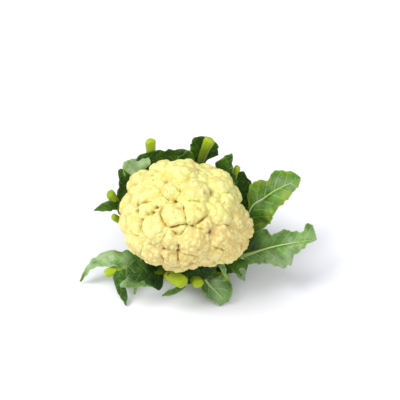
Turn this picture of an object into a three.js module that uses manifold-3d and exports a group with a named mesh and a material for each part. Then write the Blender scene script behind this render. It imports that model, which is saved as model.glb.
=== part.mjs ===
// A trimmed cauliflower. One head of curd sits on a short cut stalk, and sixteen leaves grow out of the
// stalk in three rows, pass under the curd and rise round it. Most leaves are cut back to a thick midrib
// with torn rags of blade, and a few keep their whole waved and lobed blade.
// Millimetres, +Z up. The origin is the centre of the stalk's cut face, -Y is the front and +X the right.

import * as THREE from "three";
import { ConvexHull } from "three/addons/math/ConvexHull.js";
import { mergeVertices } from "three/addons/utils/BufferGeometryUtils.js";
import Module from "manifold-3d";

// Curd: an oblate head. Its surface is covered by small domed florets, gathered in large ones.
const CURD_CENTRE = new THREE.Vector3(0, 0, 96);
const CURD_HALF = new THREE.Vector3(71, 70, 51); // half sizes under the florets
const BULGES = [
  { height: 13, towards: new THREE.Vector3(0.86, -0.36, -0.36) }, // low down at the front right
  { height: 6, towards: new THREE.Vector3(-0.78, 0.44, 0.44) }, // high up at the back left
  { height: 5, towards: new THREE.Vector3(-0.52, -0.6, -0.6) }, // low down at the front left
  { height: -5.5, towards: new THREE.Vector3(1, -0.01, -0.01) }, // drawn in at the right
  { height: -6, towards: new THREE.Vector3(-0.24, -0.69, -0.69) }, // and under the front
  { height: -6.5, towards: new THREE.Vector3(0.5, -0.61, -0.61) },
  { height: 5, towards: new THREE.Vector3(-0.58, -0.576, -0.576), sharpness: 30 }, // small ones at its foot
  { height: -5, towards: new THREE.Vector3(-0.84, -0.385, -0.385), sharpness: 30 },
  { height: -2.5, towards: new THREE.Vector3(-0.31, -0.672, -0.672), sharpness: 30 },
  { height: 6, towards: new THREE.Vector3(0.15, -0.699, -0.699), sharpness: 30 },
  { height: -3, towards: new THREE.Vector3(0.78, -0.44, -0.44), sharpness: 30 },
  { height: 3, towards: new THREE.Vector3(0.94, -0.24, -0.24), sharpness: 30 },
  { height: -3, towards: new THREE.Vector3(-0.95, 0.22, 0.22), sharpness: 30 },
];
const BULGE_SHARPNESS = 7; // where a bulge doesn't give its own

// The large florets, each on a branch of its own, that show from the front and 45 degrees above. Each row
// is its place to the right of the head's middle, its place above it in that view, and its radius.
const TO_VIEWER = new THREE.Vector3(0, -Math.SQRT1_2, Math.SQRT1_2);
const VIEW_UP = new THREE.Vector3(0, Math.SQRT1_2, Math.SQRT1_2);
const LARGE_FLORETS = [
  [-5, 58, 20],
  [-41, 49, 12],
  [-16, 33, 12],
  [14, 34, 17],
  [47, 42, 14],
  [59, 20, 11],
  [-46, 28, 14],
  [-26, 20, 7],
  [-66, 33, 8],
  [-71, 10, 9],
  [-49, 11, 9],
  [-13, 3, 16],
  [-38, -14, 16],
  [-63, -14, 10],
  [14, 7, 15],
  [27, -8, 10],
  [49, 3, 14],
  [69, -6, 10],
  [-8, -13, 9],
  [13, -31, 17],
  [-17, -30, 10],
  [-41, -50, 15],
  [-18, -52, 10],
  [4, -53, 12],
  [49, -27, 15],
  [72, -26, 9],
  [39, -46, 11],
  [9, -63, 10],
];
const OTHER_FLORETS = 56; // spread over the whole head, kept where the list above leaves room for them
const OTHER_FLORET_SPREAD = 0.23; // angle from a large floret's middle to its edge, in radians
const LOWEST_LARGE_FLORET = -0.75; // height on the unit sphere
const DOME_HEIGHT = 34; // of a large floret, for each radian of its spread
const DOME_REACH = 1.15; // where a large floret's dome comes down to the head, over its spread

const SMALL_FLORETS = 270; // the domes that the source shows one by one
const SMALL_FLORET_HEIGHT = 1.8;
const SMALL_FLORET_JITTER = 0.17; // of the spacing between neighbours
const SMALL_FLORET_PULL = 0.12; // how far each is drawn in to the middle of its large floret
const CLEFT_DEPTH = 1.6; // how much deeper the surface cuts in between two large florets
const RING_PLACE = 0.66; // of the way from a small floret's middle to its corners
const RING_HEIGHT = 0.82; // of its height
const UNDERSIDE_FROM = -0.45; // heights on the unit sphere between which the florets give way to branches
const UNDERSIDE_TO = -0.8;
const UNDERSIDE_RELIEF = 0.15; // of the relief is left there
const GOLDEN_ANGLE = Math.PI * (3 - Math.sqrt(5));

// Stalk: a short stout stem with a flat cut face that the head stands on.
const STALK_FOOT_RADIUS = 22;
const STALK_WAIST_RADIUS = 24;
const STALK_NECK_RADIUS = 28;
const STALK_HEIGHT = 46;
const STALK_SIDES = 28;
const BEVEL = 1.5;

// Leaves: three rows of midribs, one above the other on the stalk.
const ROW_LOW = 9;
const ROW_MIDDLE = 19;
const ROW_HIGH = 29;
const ROOT_RADIUS = 19; // where each midrib's line starts, inside the stalk
const BLADE_THICKNESS = 0.9;
const BLADE_STEP = 8; // length of one row of a blade
const BLADE_COLUMNS = 3; // on each side of the blade's own line
const RIB_SIDES = 8;
const RIB_STEP = 16; // length of one ring of a midrib
const RIB_FLATNESS = [0.58, 0.8]; // a midrib's thickness over its width, at its root and at its end
const GAP = 0.35; // between one piece and the next where they meet

// The same small random sequence every time the part is built.
function randomSequence(seed) {
  let state = seed >>> 0;
  return () => {
    state = (Math.imul(state, 1664525) + 1013904223) >>> 0;
    return state / 4294967296;
  };
}

function smoothstep(low, high, value) {
  const t = Math.min(1, Math.max(0, (value - low) / (high - low)));
  return t * t * (3 - 2 * t);
}

// Directions spread evenly over a sphere on a golden-angle spiral, each nudged a little.
function spiralDirections(count, lowest, jitter, seed) {
  const random = randomSequence(seed);
  const spacing = Math.sqrt((2 * Math.PI * (1 - lowest)) / count);
  return Array.from({ length: count }, (_, i) => {
    const z = 1 - ((i + 0.5) * (1 - lowest)) / count;
    const ring = Math.sqrt(Math.max(0, 1 - z * z));
    const turn = i * GOLDEN_ANGLE;
    const direction = new THREE.Vector3(ring * Math.cos(turn), ring * Math.sin(turn), z);
    const nudge = new THREE.Vector3(random() - 0.5, random() - 0.5, random() - 0.5);
    return direction.addScaledVector(nudge, 2 * jitter * spacing).normalize();
  });
}

// Curd

// How far the head reaches in a direction, under its florets.
function curdReach(direction) {
  const oblate = 1 / direction.clone().divide(CURD_HALF).length();
  return BULGES.reduce((reach, { height, towards, sharpness = BULGE_SHARPNESS }) => {
    return reach + height * Math.max(0, direction.dot(towards)) ** sharpness;
  }, oblate);
}

// A large floret that the view shows: the point of the head behind its place there, as a direction.
function floretInView([right, up, radius]) {
  const seen = new THREE.Vector3(right, 0, 0).addScaledVector(VIEW_UP, up);
  const half = CURD_HALF.clone().addScalar(DOME_HEIGHT * OTHER_FLORET_SPREAD);
  const [from, along] = [seen.clone().divide(half), TO_VIEWER.clone().divide(half)];
  const b = from.dot(along) / along.lengthSq();
  const c = (from.lengthSq() - 1) / along.lengthSq();
  const depth = Math.sqrt(Math.max(0, b * b - c)) - b;
  const place = seen.addScaledVector(TO_VIEWER, depth);
  return { towards: place.clone().normalize(), spread: radius / place.length() };
}

function largeFlorets() {
  const inView = LARGE_FLORETS.map(floretInView);
  const apart = (d) => inView.every((f) => f.towards.angleTo(d) > f.spread + OTHER_FLORET_SPREAD / 2);
  const others = spiralDirections(OTHER_FLORETS, LOWEST_LARGE_FLORET, 0.28, 11)
    .filter(apart)
    .map((towards) => ({ towards, spread: OTHER_FLORET_SPREAD }));
  return [...inView, ...others];
}

// The large floret whose dome stands highest in a direction, and that height.
function domeAt(direction, florets) {
  let index = 0;
  let height = -Infinity;
  florets.forEach(({ towards, spread }, i) => {
    const angle = Math.acos(Math.min(1, towards.dot(direction)));
    const rise = DOME_HEIGHT * spread * (1 - (angle / (DOME_REACH * spread)) ** 2);
    if (rise > height) {
      height = rise;
      index = i;
    }
  });
  return { index, height: Math.max(0, height) };
}

// The small florets are the cells round the spiral's points. Each cell is a dome: its middle stands out, a
// ring of points lies part way down, and its corners lie in the clefts between it and its neighbours.
function curdGeometry(extra = 0) {
  const large = largeFlorets();
  const small = spiralDirections(SMALL_FLORETS, -1, SMALL_FLORET_JITTER, 23).map((d) => {
    const { towards } = large[domeAt(d, large).index];
    return d.lerp(towards, towards.dot(d) > 0.9 ? SMALL_FLORET_PULL : 0).normalize();
  });
  const owner = small.map((d) => domeAt(d, large).index);
  const hull = new ConvexHull().setFromPoints(small);
  const indexOf = new Map(small.map((d, i) => [d, i]));
  const triangles = hull.faces.map(({ edge }) => {
    return [edge.prev, edge, edge.next].map((e) => indexOf.get(e.head().point));
  });

  const surfacePoint = (direction, lift) => {
    const bare = smoothstep(UNDERSIDE_FROM, UNDERSIDE_TO, direction.z);
    const relief = (domeAt(direction, large).height + lift) * (1 - (1 - UNDERSIDE_RELIEF) * bare);
    return direction.clone().multiplyScalar(curdReach(direction) + relief + extra).add(CURD_CENTRE);
  };
  const corners = triangles.map((t) => {
    const [a, b, c] = t.map((i) => small[i]);
    return b.clone().sub(a).cross(c.clone().sub(a)).normalize();
  });
  const points = small.map((d) => surfacePoint(d, SMALL_FLORET_HEIGHT));
  const cornerStart = points.length;
  triangles.forEach((t, k) => {
    const betweenLarge = new Set(t.map((i) => owner[i])).size > 1;
    points.push(surfacePoint(corners[k], betweenLarge ? -CLEFT_DEPTH : 0));
  });
  const ringStart = points.length;
  triangles.forEach((t, k) => {
    t.forEach((i) => {
      const way = small[i].clone().lerp(corners[k], RING_PLACE).normalize();
      points.push(surfacePoint(way, SMALL_FLORET_HEIGHT * RING_HEIGHT));
    });
  });

  const sideOf = new Map(); // a directed edge from floret a to floret b names the triangle on its left
  triangles.forEach((t, k) => {
    t.forEach((i, n) => sideOf.set(`${i},${t[(n + 1) % 3]}`, k));
  });
  const ringPoint = (i, k) => ringStart + 3 * k + triangles[k].indexOf(i);
  const index = [];
  triangles.forEach((t, left) => {
    t.forEach((i, n) => {
      const right = sideOf.get(`${t[(n + 1) % 3]},${i}`);
      const [ringLeft, ringRight] = [ringPoint(i, left), ringPoint(i, right)];
      const [cornerLeft, cornerRight] = [cornerStart + left, cornerStart + right];
      index.push(i, ringRight, ringLeft);
      index.push(ringRight, cornerRight, cornerLeft);
      index.push(ringRight, cornerLeft, ringLeft);
    });
  });
  return meshGeometry(points, index);
}

// Stalk

function stalkGeometry(extra = 0) {
  const profile = [
    [0, -extra],
    [STALK_FOOT_RADIUS - BEVEL + extra, -extra],
    [STALK_FOOT_RADIUS + extra, BEVEL],
    [STALK_WAIST_RADIUS + extra, STALK_HEIGHT * 0.55],
    [STALK_NECK_RADIUS + extra, STALK_HEIGHT * 0.92],
    [STALK_NECK_RADIUS * 0.8 + extra, STALK_HEIGHT + extra],
    [0, STALK_HEIGHT + extra],
  ].map(([r, z]) => new THREE.Vector2(r, z));
  return new THREE.LatheGeometry(profile, STALK_SIDES).rotateX(Math.PI / 2);
}

// Leaves

function meshGeometry(points, index) {
  const positions = new Float32Array(points.flatMap((p) => [p.x, p.y, p.z]));
  const geometry = new THREE.BufferGeometry();
  geometry.setAttribute("position", new THREE.BufferAttribute(positions, 3));
  geometry.setIndex(index);
  return geometry;
}

function lineThrough(points) {
  const vectors = points.map((p) => new THREE.Vector3(...p));
  return new THREE.CatmullRomCurve3(vectors, false, "catmullrom", 0.5);
}

// A value that runs smoothly through a list of values, evenly spaced from 0 to 1.
function along(values, t) {
  const place = Math.max(0, t * (values.length - 1));
  const i = Math.min(values.length - 1, Math.floor(place));
  const next = Math.min(i + 1, values.length - 1);
  const ease = smoothstep(0, 1, place - i);
  return values[i] + (values[next] - values[i]) * ease;
}

// A frame on a line: forward along it, across to its right, and out of the side that faces `face`.
function frameAt(line, t, face) {
  const forward = line.getTangentAt(Math.min(0.999, Math.max(0.001, t)));
  const across = forward.clone().cross(new THREE.Vector3(...face)).normalize();
  const out = across.clone().cross(forward).normalize();
  return { at: line.getPointAt(t), forward, across, out };
}

// A midrib: a flattened stem that runs from the stalk to its cut end, or thins out to the leaf's tip.
function midribGeometry({ line: points, width, face }, extra) {
  const line = lineThrough(points);
  const steps = Math.max(3, Math.round(line.getLength() / RIB_STEP));
  const rings = [];
  for (let r = 0; r <= steps; r += 1) {
    const t = r / steps;
    const { at, across, out } = frameAt(line, t, face);
    const half = along(width, t) / 2;
    const depth = half * along(RIB_FLATNESS, t) + extra;
    for (let s = 0; s < RIB_SIDES; s += 1) {
      const turn = (2 * Math.PI * (s + 0.5)) / RIB_SIDES;
      const side = across.clone().multiplyScalar((half + extra) * Math.cos(turn));
      rings.push(at.clone().add(side).addScaledVector(out, depth * Math.sin(turn)));
    }
  }
  const index = [];
  for (let r = 0; r < steps; r += 1) {
    for (let s = 0; s < RIB_SIDES; s += 1) {
      const a = r * RIB_SIDES + s;
      const b = r * RIB_SIDES + ((s + 1) % RIB_SIDES);
      index.push(a, a + RIB_SIDES, b, b, a + RIB_SIDES, b + RIB_SIDES);
    }
  }
  const last = steps * RIB_SIDES;
  for (let s = 1; s < RIB_SIDES - 1; s += 1) {
    index.push(0, s, s + 1, last, last + s + 1, last + s);
  }
  return meshGeometry(rings, index);
}

// A point of a blade: t runs along the blade's line and v across it, from -1 at the left edge to 1 at the
// right. Each side leaves the line at its own lift and bends by its own curl, and its edge is waved.
function bladePoint(blade, line, t, v, widen) {
  const { at, across, out } = frameAt(line, t, blade.face);
  const side = v < 0 ? blade.left : blade.right;
  const reach = Math.abs(v);
  const width = along(side.width, t) + widen;
  const curl = along([side.curl ?? 0].flat(), t) + 1e-4;
  const lift = side.lift ?? 0;
  const arm = width * (Math.sin(curl * reach) / curl);
  const rise = width * ((1 - Math.cos(curl * reach)) / curl);
  const sideways = arm * Math.cos(lift) - rise * Math.sin(lift);
  const upwards = arm * Math.sin(lift) + rise * Math.cos(lift);
  const [height, waves, phase] = blade.wave ?? [0, 1, 0];
  const wave = height * reach * reach * Math.sin(2 * Math.PI * waves * t + phase + (v < 0 ? 2 : 0));
  return at
    .addScaledVector(across, Math.sign(v) * sideways)
    .addScaledVector(out, upwards + wave);
}

function bladeGeometry(blade, extra) {
  const line = lineThrough(blade.line);
  const rows = Math.max(4, Math.round(line.getLength() / BLADE_STEP));
  const columns = 2 * BLADE_COLUMNS;
  const half = BLADE_THICKNESS / 2 + extra;
  const points = [[], []];
  for (let r = 0; r <= rows; r += 1) {
    const t = r / rows;
    for (let c = 0; c <= columns; c += 1) {
      const v = c / BLADE_COLUMNS - 1;
      const here = bladePoint(blade, line, t, v, extra);
      const step = 0.01;
      const [t0, t1] = [Math.max(0, t - step), Math.min(1, t + step)];
      const [v0, v1] = [Math.max(-1, v - step), Math.min(1, v + step)];
      const lengthwise = bladePoint(blade, line, t1, v, extra).sub(bladePoint(blade, line, t0, v, extra));
      const crosswise = bladePoint(blade, line, t, v1, extra).sub(bladePoint(blade, line, t, v0, extra));
      const normal = crosswise.cross(lengthwise).normalize();
      points[0].push(here.clone().addScaledVector(normal, half));
      points[1].push(here.clone().addScaledVector(normal, -half));
    }
  }
  const under = points[0].length;
  const at = (r, c) => r * (columns + 1) + c;
  const index = [];
  for (let r = 0; r < rows; r += 1) {
    for (let c = 0; c < columns; c += 1) {
      const [a, b, d, e] = [at(r, c), at(r, c + 1), at(r + 1, c), at(r + 1, c + 1)];
      index.push(a, b, e, a, e, d);
      index.push(under + a, under + e, under + b, under + a, under + d, under + e);
    }
  }
  const rim = [];
  for (let c = 0; c < columns; c += 1) rim.push(at(0, c));
  for (let r = 0; r < rows; r += 1) rim.push(at(r, columns));
  for (let c = columns; c > 0; c -= 1) rim.push(at(rows, c));
  for (let r = rows; r > 0; r -= 1) rim.push(at(r, 0));
  rim.forEach((a, i) => {
    const b = rim[(i + 1) % rim.length];
    index.push(a, under + a, b, b, under + a, under + b);
  });
  return meshGeometry([...points[0], ...points[1]], index);
}

function root(degrees, row) {
  const turn = THREE.MathUtils.degToRad(degrees);
  return [ROOT_RADIUS * Math.cos(turn), ROOT_RADIUS * Math.sin(turn), row];
}

const UP = [0, 0, 1];
const TO_FRONT = [0, -0.7, 0.7];

// Each leaf's midrib line runs outwards from its root on the stalk. Widths are full widths of a midrib, and
// half widths to the left and right of a blade's line, at even steps along it.
const LEAVES = {
  // Left, drooping: the cut midrib points left, one rag reaches past it and one hangs to the surface.
  leaf_01: {
    rib: {
      line: [root(197, ROW_LOW), [-46, -14, 21], [-74, -22, 28], [-97.5, -30, 26]],
      width: [20, 16, 13, 12.5],
      face: UP,
    },
    blades: [
      {
        line: [
          [-46.5, -13, 26.5],
          [-69.5, -14, 35],
          [-94, -13, 34.5],
          [-113, -15, 27],
          [-122, -19, 16.5],
          [-129.5, -23, 3],
        ],
        face: [0.1, -0.35, 1],
        left: { width: [8, 15, 15, 12, 6, 4, 1], curl: 0.4 },
        right: { width: [12, 14, 11.5, 10.5, 6.5, 3.5, 1], curl: -0.3 },
        wave: [2, 2.2, 0.5],
      },
      {
        line: [[-77, -24, 30], [-80, -37, 28], [-78.5, -47, 17.5], [-73.5, -54, 7], [-71, -60, 1.5]],
        face: [-0.1, -0.65, 0.75],
        left: { width: [10, 14, 9, 5.5, 1], curl: -0.4 },
        right: { width: [4, 7, 4.5, 3.5, 1], curl: 0.3 },
        wave: [1.5, 2, 1],
      },
    ],
  },
  // Front left, tucked under the head: a wide dark blade, with a pale ragged edge folded forwards.
  leaf_02: {
    rib: {
      line: [root(223, ROW_HIGH), [-28, -28, 31], [-44, -40, 37]],
      width: [18, 12, 6],
      face: UP,
    },
    blades: [
      {
        line: [[-25.5, -26, 28.5], [-38, -38, 37], [-53, -44, 44], [-70.5, -47, 45.5]],
        face: [0, -0.6, 0.8],
        left: { width: [6, 22, 14, 11, 4], curl: -0.3 },
        right: { width: [9, 16, 18, 16, 8], curl: -0.2 },
        wave: [2, 2.3, 0],
      },
      {
        line: [[-37, -47, 27], [-52, -51, 35.5], [-66, -53, 36], [-77, -54, 31]],
        face: [0, -0.6, 0.8],
        left: { width: [4, 5.5, 6.5, 2], curl: -0.5 },
        right: { width: [6.5, 8, 8, 3], curl: -0.4 },
        wave: [1.2, 2.5, 0],
      },
      {
        line: [[-58, -52, 35], [-59, -56, 28.5], [-60, -58, 20.5]],
        face: [0, -0.6, 0.8],
        left: { width: [3, 1.8, 1.3] },
        right: { width: [3, 1.8, 1.3] },
      },
    ],
  },
  // Front: the stoutest midrib, bent to the right and cut blunt, with one pointed rag under it.
  leaf_03: {
    rib: {
      line: [root(248, ROW_LOW), [-13, -34, 23], [-15.5, -48, 44], [-8, -58, 48.5], [0.5, -66.5, 51]],
      width: [20, 18, 18, 18, 17],
      face: UP,
    },
    blades: [
      {
        line: [[1, -66, 47], [-9, -63, 34.5], [-18.5, -62, 28.5], [-27, -61, 22]],
        face: [0, -0.6, 0.8],
        left: { width: [2, 3, 3.5, 1] },
        right: { width: [2, 4, 3.5, 1] },
      },
    ],
  },
  // Front: a short cut midrib, with a dark blade behind it in the head's shadow.
  leaf_04: {
    rib: {
      line: [root(283, ROW_HIGH), [11, -38, 32], [16.5, -62, 44]],
      width: [18, 13.5, 14],
      face: UP,
    },
    blades: [
      {
        line: [[-13, -43, 37], [6.5, -45, 38.5], [23, -42, 42.5], [37.5, -37, 46.5]],
        face: [0, -0.7, 0.7],
        left: { width: [4, 8, 8, 4], curl: 0.2 },
        right: { width: [4, 9, 8, 5], curl: 0.2 },
        wave: [1, 2, 0],
      },
    ],
  },
  // Front right: a whole short leaf that hangs down to the surface.
  leaf_05: {
    rib: {
      line: [
        root(303, ROW_MIDDLE),
        [19, -29, 27],
        [22.5, -38, 30.5],
        [28.5, -44, 23.5],
        [36, -50, 18.5],
        [46.5, -57, 10],
      ],
      width: [18, 12, 5, 4, 3, 1.4],
      face: TO_FRONT,
    },
    blades: [
      {
        line: [[22, -34, 30.5], [28.5, -43, 22.5], [36, -49, 17], [42.5, -54.5, 11.5], [42.5, -60, 1]],
        face: [0.1, -0.7, 0.7],
        left: { width: [8, 14, 19, 21, 20.5, 11, 1], curl: 0.25 },
        right: { width: [4, 7, 11, 13, 12, 8, 1], curl: 0.3 },
        wave: [1.5, 2.5, 0.6],
      },
      {
        line: [[39.5, -42, 61.5], [44.5, -44, 50], [50, -42, 34], [57, -36, 12]],
        face: [0.1, -0.7, 0.7],
        left: { width: [7, 5, 1.5, 1.5, 1] },
        right: { width: [1, 1.6, 2, 3, 1.5] },
      },
    ],
  },
  // Front right, behind the last: a cut midrib.
  leaf_06: {
    rib: {
      line: [root(319, ROW_LOW), [33, -25, 18], [52.5, -38, 26.5]],
      width: [18, 14, 12],
      face: UP,
    },
    blades: [],
  },
  // Right front: a narrow rag whose tip folds over and hangs down.
  leaf_07: {
    rib: {
      line: [root(333, ROW_HIGH), [38, -19, 31], [54, -27, 30]],
      width: [16, 9, 4],
      face: UP,
    },
    blades: [
      {
        line: [[38, -19, 20], [54.5, -26, 34], [66.5, -31, 34], [73, -37, 20.5]],
        face: [0.2, -0.4, 1],
        left: { width: [4, 12, 16, 1], curl: -0.4 },
        right: { width: [4, 8, 7, 1], curl: -0.5 },
        wave: [1.5, 1.6, 0.5],
      },
      {
        line: [[71.5, -30, 36.5], [68.5, -34, 30.5], [72.5, -38, 22]],
        face: [0, -0.7, 0.7],
        left: { width: [4, 5, 1] },
        right: { width: [4, 5.5, 1] },
      },
    ],
  },
  // Right: the longest leaf, whole, with a lobed lower edge and a tip that turns up.
  leaf_08: {
    rib: {
      line: [
        root(352, ROW_MIDDLE),
        [44, -8, 27],
        [72, -13, 40.5],
        [93, -14.5, 52],
        [114.5, -15, 61],
        [148.5, -14, 68.5],
      ],
      width: [19, 14, 5.2, 3.2, 2.4, 1],
      face: [-0.1, -0.45, 0.9],
    },
    blades: [
      {
        line: [[71, -12, 39], [93.5, -13, 50.5], [114.5, -13, 58.5], [136, -13, 64], [158, -12, 70.5]],
        face: [-0.1, -0.5, 0.85],
        left: {
          width: [
            14.5, 16.5, 18.5, 20, 22, 23, 24.5, 25, 24, 14, 16, 17.5, 19, 17, 15, 13.5, 10.5, 12, 20, 20, 16,
          ],
          lift: 0.1,
          curl: 0.2,
        },
        right: { width: [15, 13, 15, 18, 23, 28, 26, 13, 9, 4, 1.5], lift: 0.05, curl: -0.4 },
        wave: [2.4, 3.6, 1.2],
      },
    ],
  },
  // Right, behind: a broad whole leaf that rises outwards.
  leaf_09: {
    rib: {
      line: [
        root(24, ROW_LOW),
        [42, 19, 16],
        [64, 29, 33],
        [77.5, 32, 66.5],
        [84, 34, 81],
        [95, 35, 90],
        [109, 37, 102],
        [127, 41, 110],
      ],
      width: [20, 18, 13.5, 7, 3.4, 2.4, 1.8, 1],
      face: [-0.3, -0.55, 0.75],
    },
    blades: [
      {
        line: [
          [73, 29, 48],
          [83.5, 34, 69.5],
          [95, 37, 86.5],
          [107, 39, 97.5],
          [120, 42, 105],
          [140, 46, 115],
        ],
        face: [-0.2, -0.6, 0.75],
        left: { width: [4, 4, 5, 8, 18, 26, 23, 15, 22, 19, 13, 3], lift: 0.1, curl: -0.1 },
        right: { width: [20, 20, 24, 28, 26, 23, 20, 21, 18, 13, 9, 3], lift: 0.1, curl: -0.2 },
        wave: [2, 3.1, 0.3],
      },
    ],
  },
  // Right, behind: a dark upright rag close to the head.
  leaf_10: {
    rib: {
      line: [root(38, ROW_HIGH), [37, 29, 31], [56, 45, 45], [66, 56, 66]],
      width: [17, 14, 11, 6],
      face: [-0.7, -0.7, 0.3],
    },
    blades: [
      {
        line: [[58.5, 44, 39.5], [72, 52, 60], [74.5, 56, 75.5], [74, 60, 91], [70, 64, 109]],
        face: [-0.35, -0.85, 0.35],
        left: { width: [6, 13, 14, 14, 9], curl: 0.3 },
        right: { width: [14, 14, 12, 9.5, 2], curl: 0.3 },
        wave: [1.2, 1.7, 0],
      },
    ],
  },
  // Back right: a cut midrib with a curled rag that rises to a point.
  leaf_11: {
    rib: {
      line: [
        root(54, ROW_MIDDLE),
        [30, 40, 23],
        [46, 59, 37],
        [56, 67, 59],
        [60, 66, 85],
        [61, 66, 100.5],
        [65, 67, 114],
      ],
      width: [19, 18, 15, 13, 10, 8.5, 8.5],
      face: [-0.7, -0.7, 0.2],
    },
    blades: [
      {
        line: [
          [42, 55, 34],
          [55, 66, 57],
          [57, 66, 88.5],
          [54, 66, 109],
          [54.5, 68, 120.5],
          [57.5, 70, 132.5],
        ],
        face: [-0.5, -0.85, 0.2],
        left: { width: [5, 8, 10, 11, 11, 11, 11, 12, 15, 18.5, 9, 1], curl: 0.3 },
        right: { width: [5, 8, 9, 9, 9, 9, 9, 10, 8, 6.5, 5, 1.5], curl: 0.3 },
        wave: [1.2, 1.4, 0],
      },
    ],
  },
  // Back: a thick bright midrib that leans right at its cut end, with a blade on each side.
  leaf_12: {
    rib: {
      line: [
        root(72, ROW_LOW),
        [14, 43, 14],
        [19, 67, 29],
        [21, 84, 53],
        [20, 88, 77],
        [19.5, 84, 105.5],
        [22.5, 83, 120],
        [26.5, 82, 134],
        [31, 83, 145],
      ],
      width: [20, 19, 17, 15, 13, 9, 8.5, 10.5, 14],
      face: [-0.2, -1, 0.3],
    },
    blades: [
      {
        line: [
          [18, 60, 25],
          [21, 82, 50],
          [20, 89, 74],
          [18.5, 89, 99],
          [19, 88, 115.5],
          [22.5, 88, 130],
          [26.5, 90, 143],
        ],
        face: [-0.1, -1, 0.3],
        left: { width: [7, 12, 14, 13, 9, 7, 8, 10, 15, 17, 13], curl: 0.5 },
        right: { width: [7, 12, 14, 13, 9, 5.5, 5.5, 10, 23, 20, 11], curl: -0.3 },
        wave: [1, 1.5, 0],
      },
    ],
  },
  // Back left: a tall cut midrib with a rag folded over the head and another along its back.
  leaf_13: {
    rib: {
      line: [
        root(117, ROW_MIDDLE),
        [-18, 40, 23],
        [-29, 61, 37],
        [-37, 77, 58],
        [-42, 83, 84],
        [-43, 83, 108],
        [-42, 84, 122],
        [-42, 85, 141.5],
      ],
      width: [20, 19, 17, 15, 13, 11, 11.5, 13],
      face: [0.4, -0.9, 0.1],
    },
    blades: [
      {
        line: [[-26, 55, 32], [-36, 74, 55], [-42, 82, 78], [-43, 83, 98]],
        face: [0.4, -0.9, 0.1],
        left: { width: [7, 14, 14, 7], curl: 0.4 },
        right: { width: [7, 14, 13, 7], curl: 0.4 },
        wave: [1.5, 2.2, 1],
      },
      {
        line: [[-43, 75, 118], [-55, 69, 116], [-66.5, 60, 118], [-75.5, 54, 124]],
        face: [0.1, -0.6, 0.8],
        left: { width: [6, 9, 12, 8], curl: -0.2 },
        right: { width: [7, 10, 11, 7], curl: -0.3 },
        wave: [1, 1.5, 0.4],
      },
      {
        line: [[-56.5, 68, 103.5], [-45.5, 75, 114], [-31, 81, 116.5], [-9, 87, 114.5], [12, 90, 108.5]],
        face: [0.1, -1, 0.3],
        left: { width: [6, 14, 12, 9, 8, 9, 8], curl: 0.2 },
        right: { width: [6, 9, 9, 9, 8, 8, 4], curl: 0.2 },
        wave: [0.8, 2, 0],
      },
    ],
  },
  // Back: a blade that stands against the head.
  leaf_14: {
    rib: {
      line: [root(95, ROW_HIGH), [-4, 42, 32], [-5, 63, 44], [-6, 79, 63], [-5, 85, 83], [0, 86, 98]],
      width: [18, 16, 14, 11, 8, 5],
      face: [0, -1, 0.2],
    },
    blades: [
      {
        line: [[-5, 58, 41], [-6, 77, 61], [-5, 84, 80], [0, 86, 96], [2.5, 84, 114], [5, 84, 125.5]],
        face: [0, -1, 0.1],
        left: { width: [6, 11, 12, 12, 12, 4], curl: 0.3 },
        right: { width: [6, 11, 12, 12, 11, 5], curl: 0.4 },
        wave: [1.2, 1.8, 0.8],
      },
    ],
  },
  // Left: a cut midrib that bends outwards, one rag above it and one pointed rag to the left.
  leaf_15: {
    rib: {
      line: [
        root(152, ROW_HIGH),
        [-42, 22, 33],
        [-67, 34, 48],
        [-81, 38, 73],
        [-85, 34, 87],
        [-90.5, 32, 103.5],
      ],
      width: [19, 17, 14, 12, 12, 13],
      face: [0.9, -0.3, 0.2],
    },
    blades: [
      {
        line: [[-52, 27, 39], [-68, 35, 53], [-79, 39, 70], [-83, 38, 84]],
        face: [0.9, -0.3, 0.2],
        left: { width: [6, 10, 10, 5], curl: 0.4 },
        right: { width: [6, 13, 14, 8], curl: 0.4 },
        wave: [1.2, 2, 0.5],
      },
      {
        line: [[-81, 38, 76], [-78, 41, 92], [-75.5, 46, 106], [-77.5, 52, 124.5]],
        face: [0.5, -0.8, 0.3],
        left: { width: [6, 5.5, 6, 5, 3], curl: 0.2 },
        right: { width: [8, 9, 10, 11, 3], curl: 0.3 },
        wave: [1, 1.5, 0],
      },
      {
        line: [[-81.5, 31, 81.5], [-89.5, 23, 89.5], [-99, 17, 93], [-108.5, 12, 93]],
        face: [0, -0.85, 0.5],
        left: { width: [5, 6.5, 5, 1], curl: 0.2 },
        right: { width: [7, 7, 5.5, 1], curl: -0.3 },
        wave: [0.8, 1.5, 0],
      },
    ],
  },
  // Left: the smallest cut midrib.
  leaf_16: {
    rib: {
      line: [root(168, ROW_MIDDLE), [-46, 11, 24], [-68, 20, 39], [-78, 26, 57], [-88, 22, 73]],
      width: [17, 13, 10, 9, 9.5],
      face: [1, 0, 0.2],
    },
    blades: [
      {
        line: [[-48, 12, 26], [-62, 17, 35], [-72, 23, 48], [-78, 25, 58]],
        face: [0.9, -0.2, 0.3],
        left: { width: [6, 11, 10, 3], curl: 0.4 },
        right: { width: [5, 7, 6, 2], curl: 0.4 },
        wave: [1, 2, 0],
      },
    ],
  },
};

const MATERIALS = {
  curd: { color: 0xf6e9a6, roughness: 0.75 },
  stalk: { color: 0xd5dfa0, roughness: 0.6 },
  leaf: { color: 0x4f7d32, roughness: 0.5 },
};

function finishOf(name) {
  const kind = name.startsWith("leaf") ? "leaf" : name;
  return new THREE.MeshStandardMaterial({ name: kind, metalness: 0, ...MATERIALS[kind] });
}

// Solids: the boolean cuts that fit one piece to the next.
const wasm = await Module();
wasm.setup();

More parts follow.
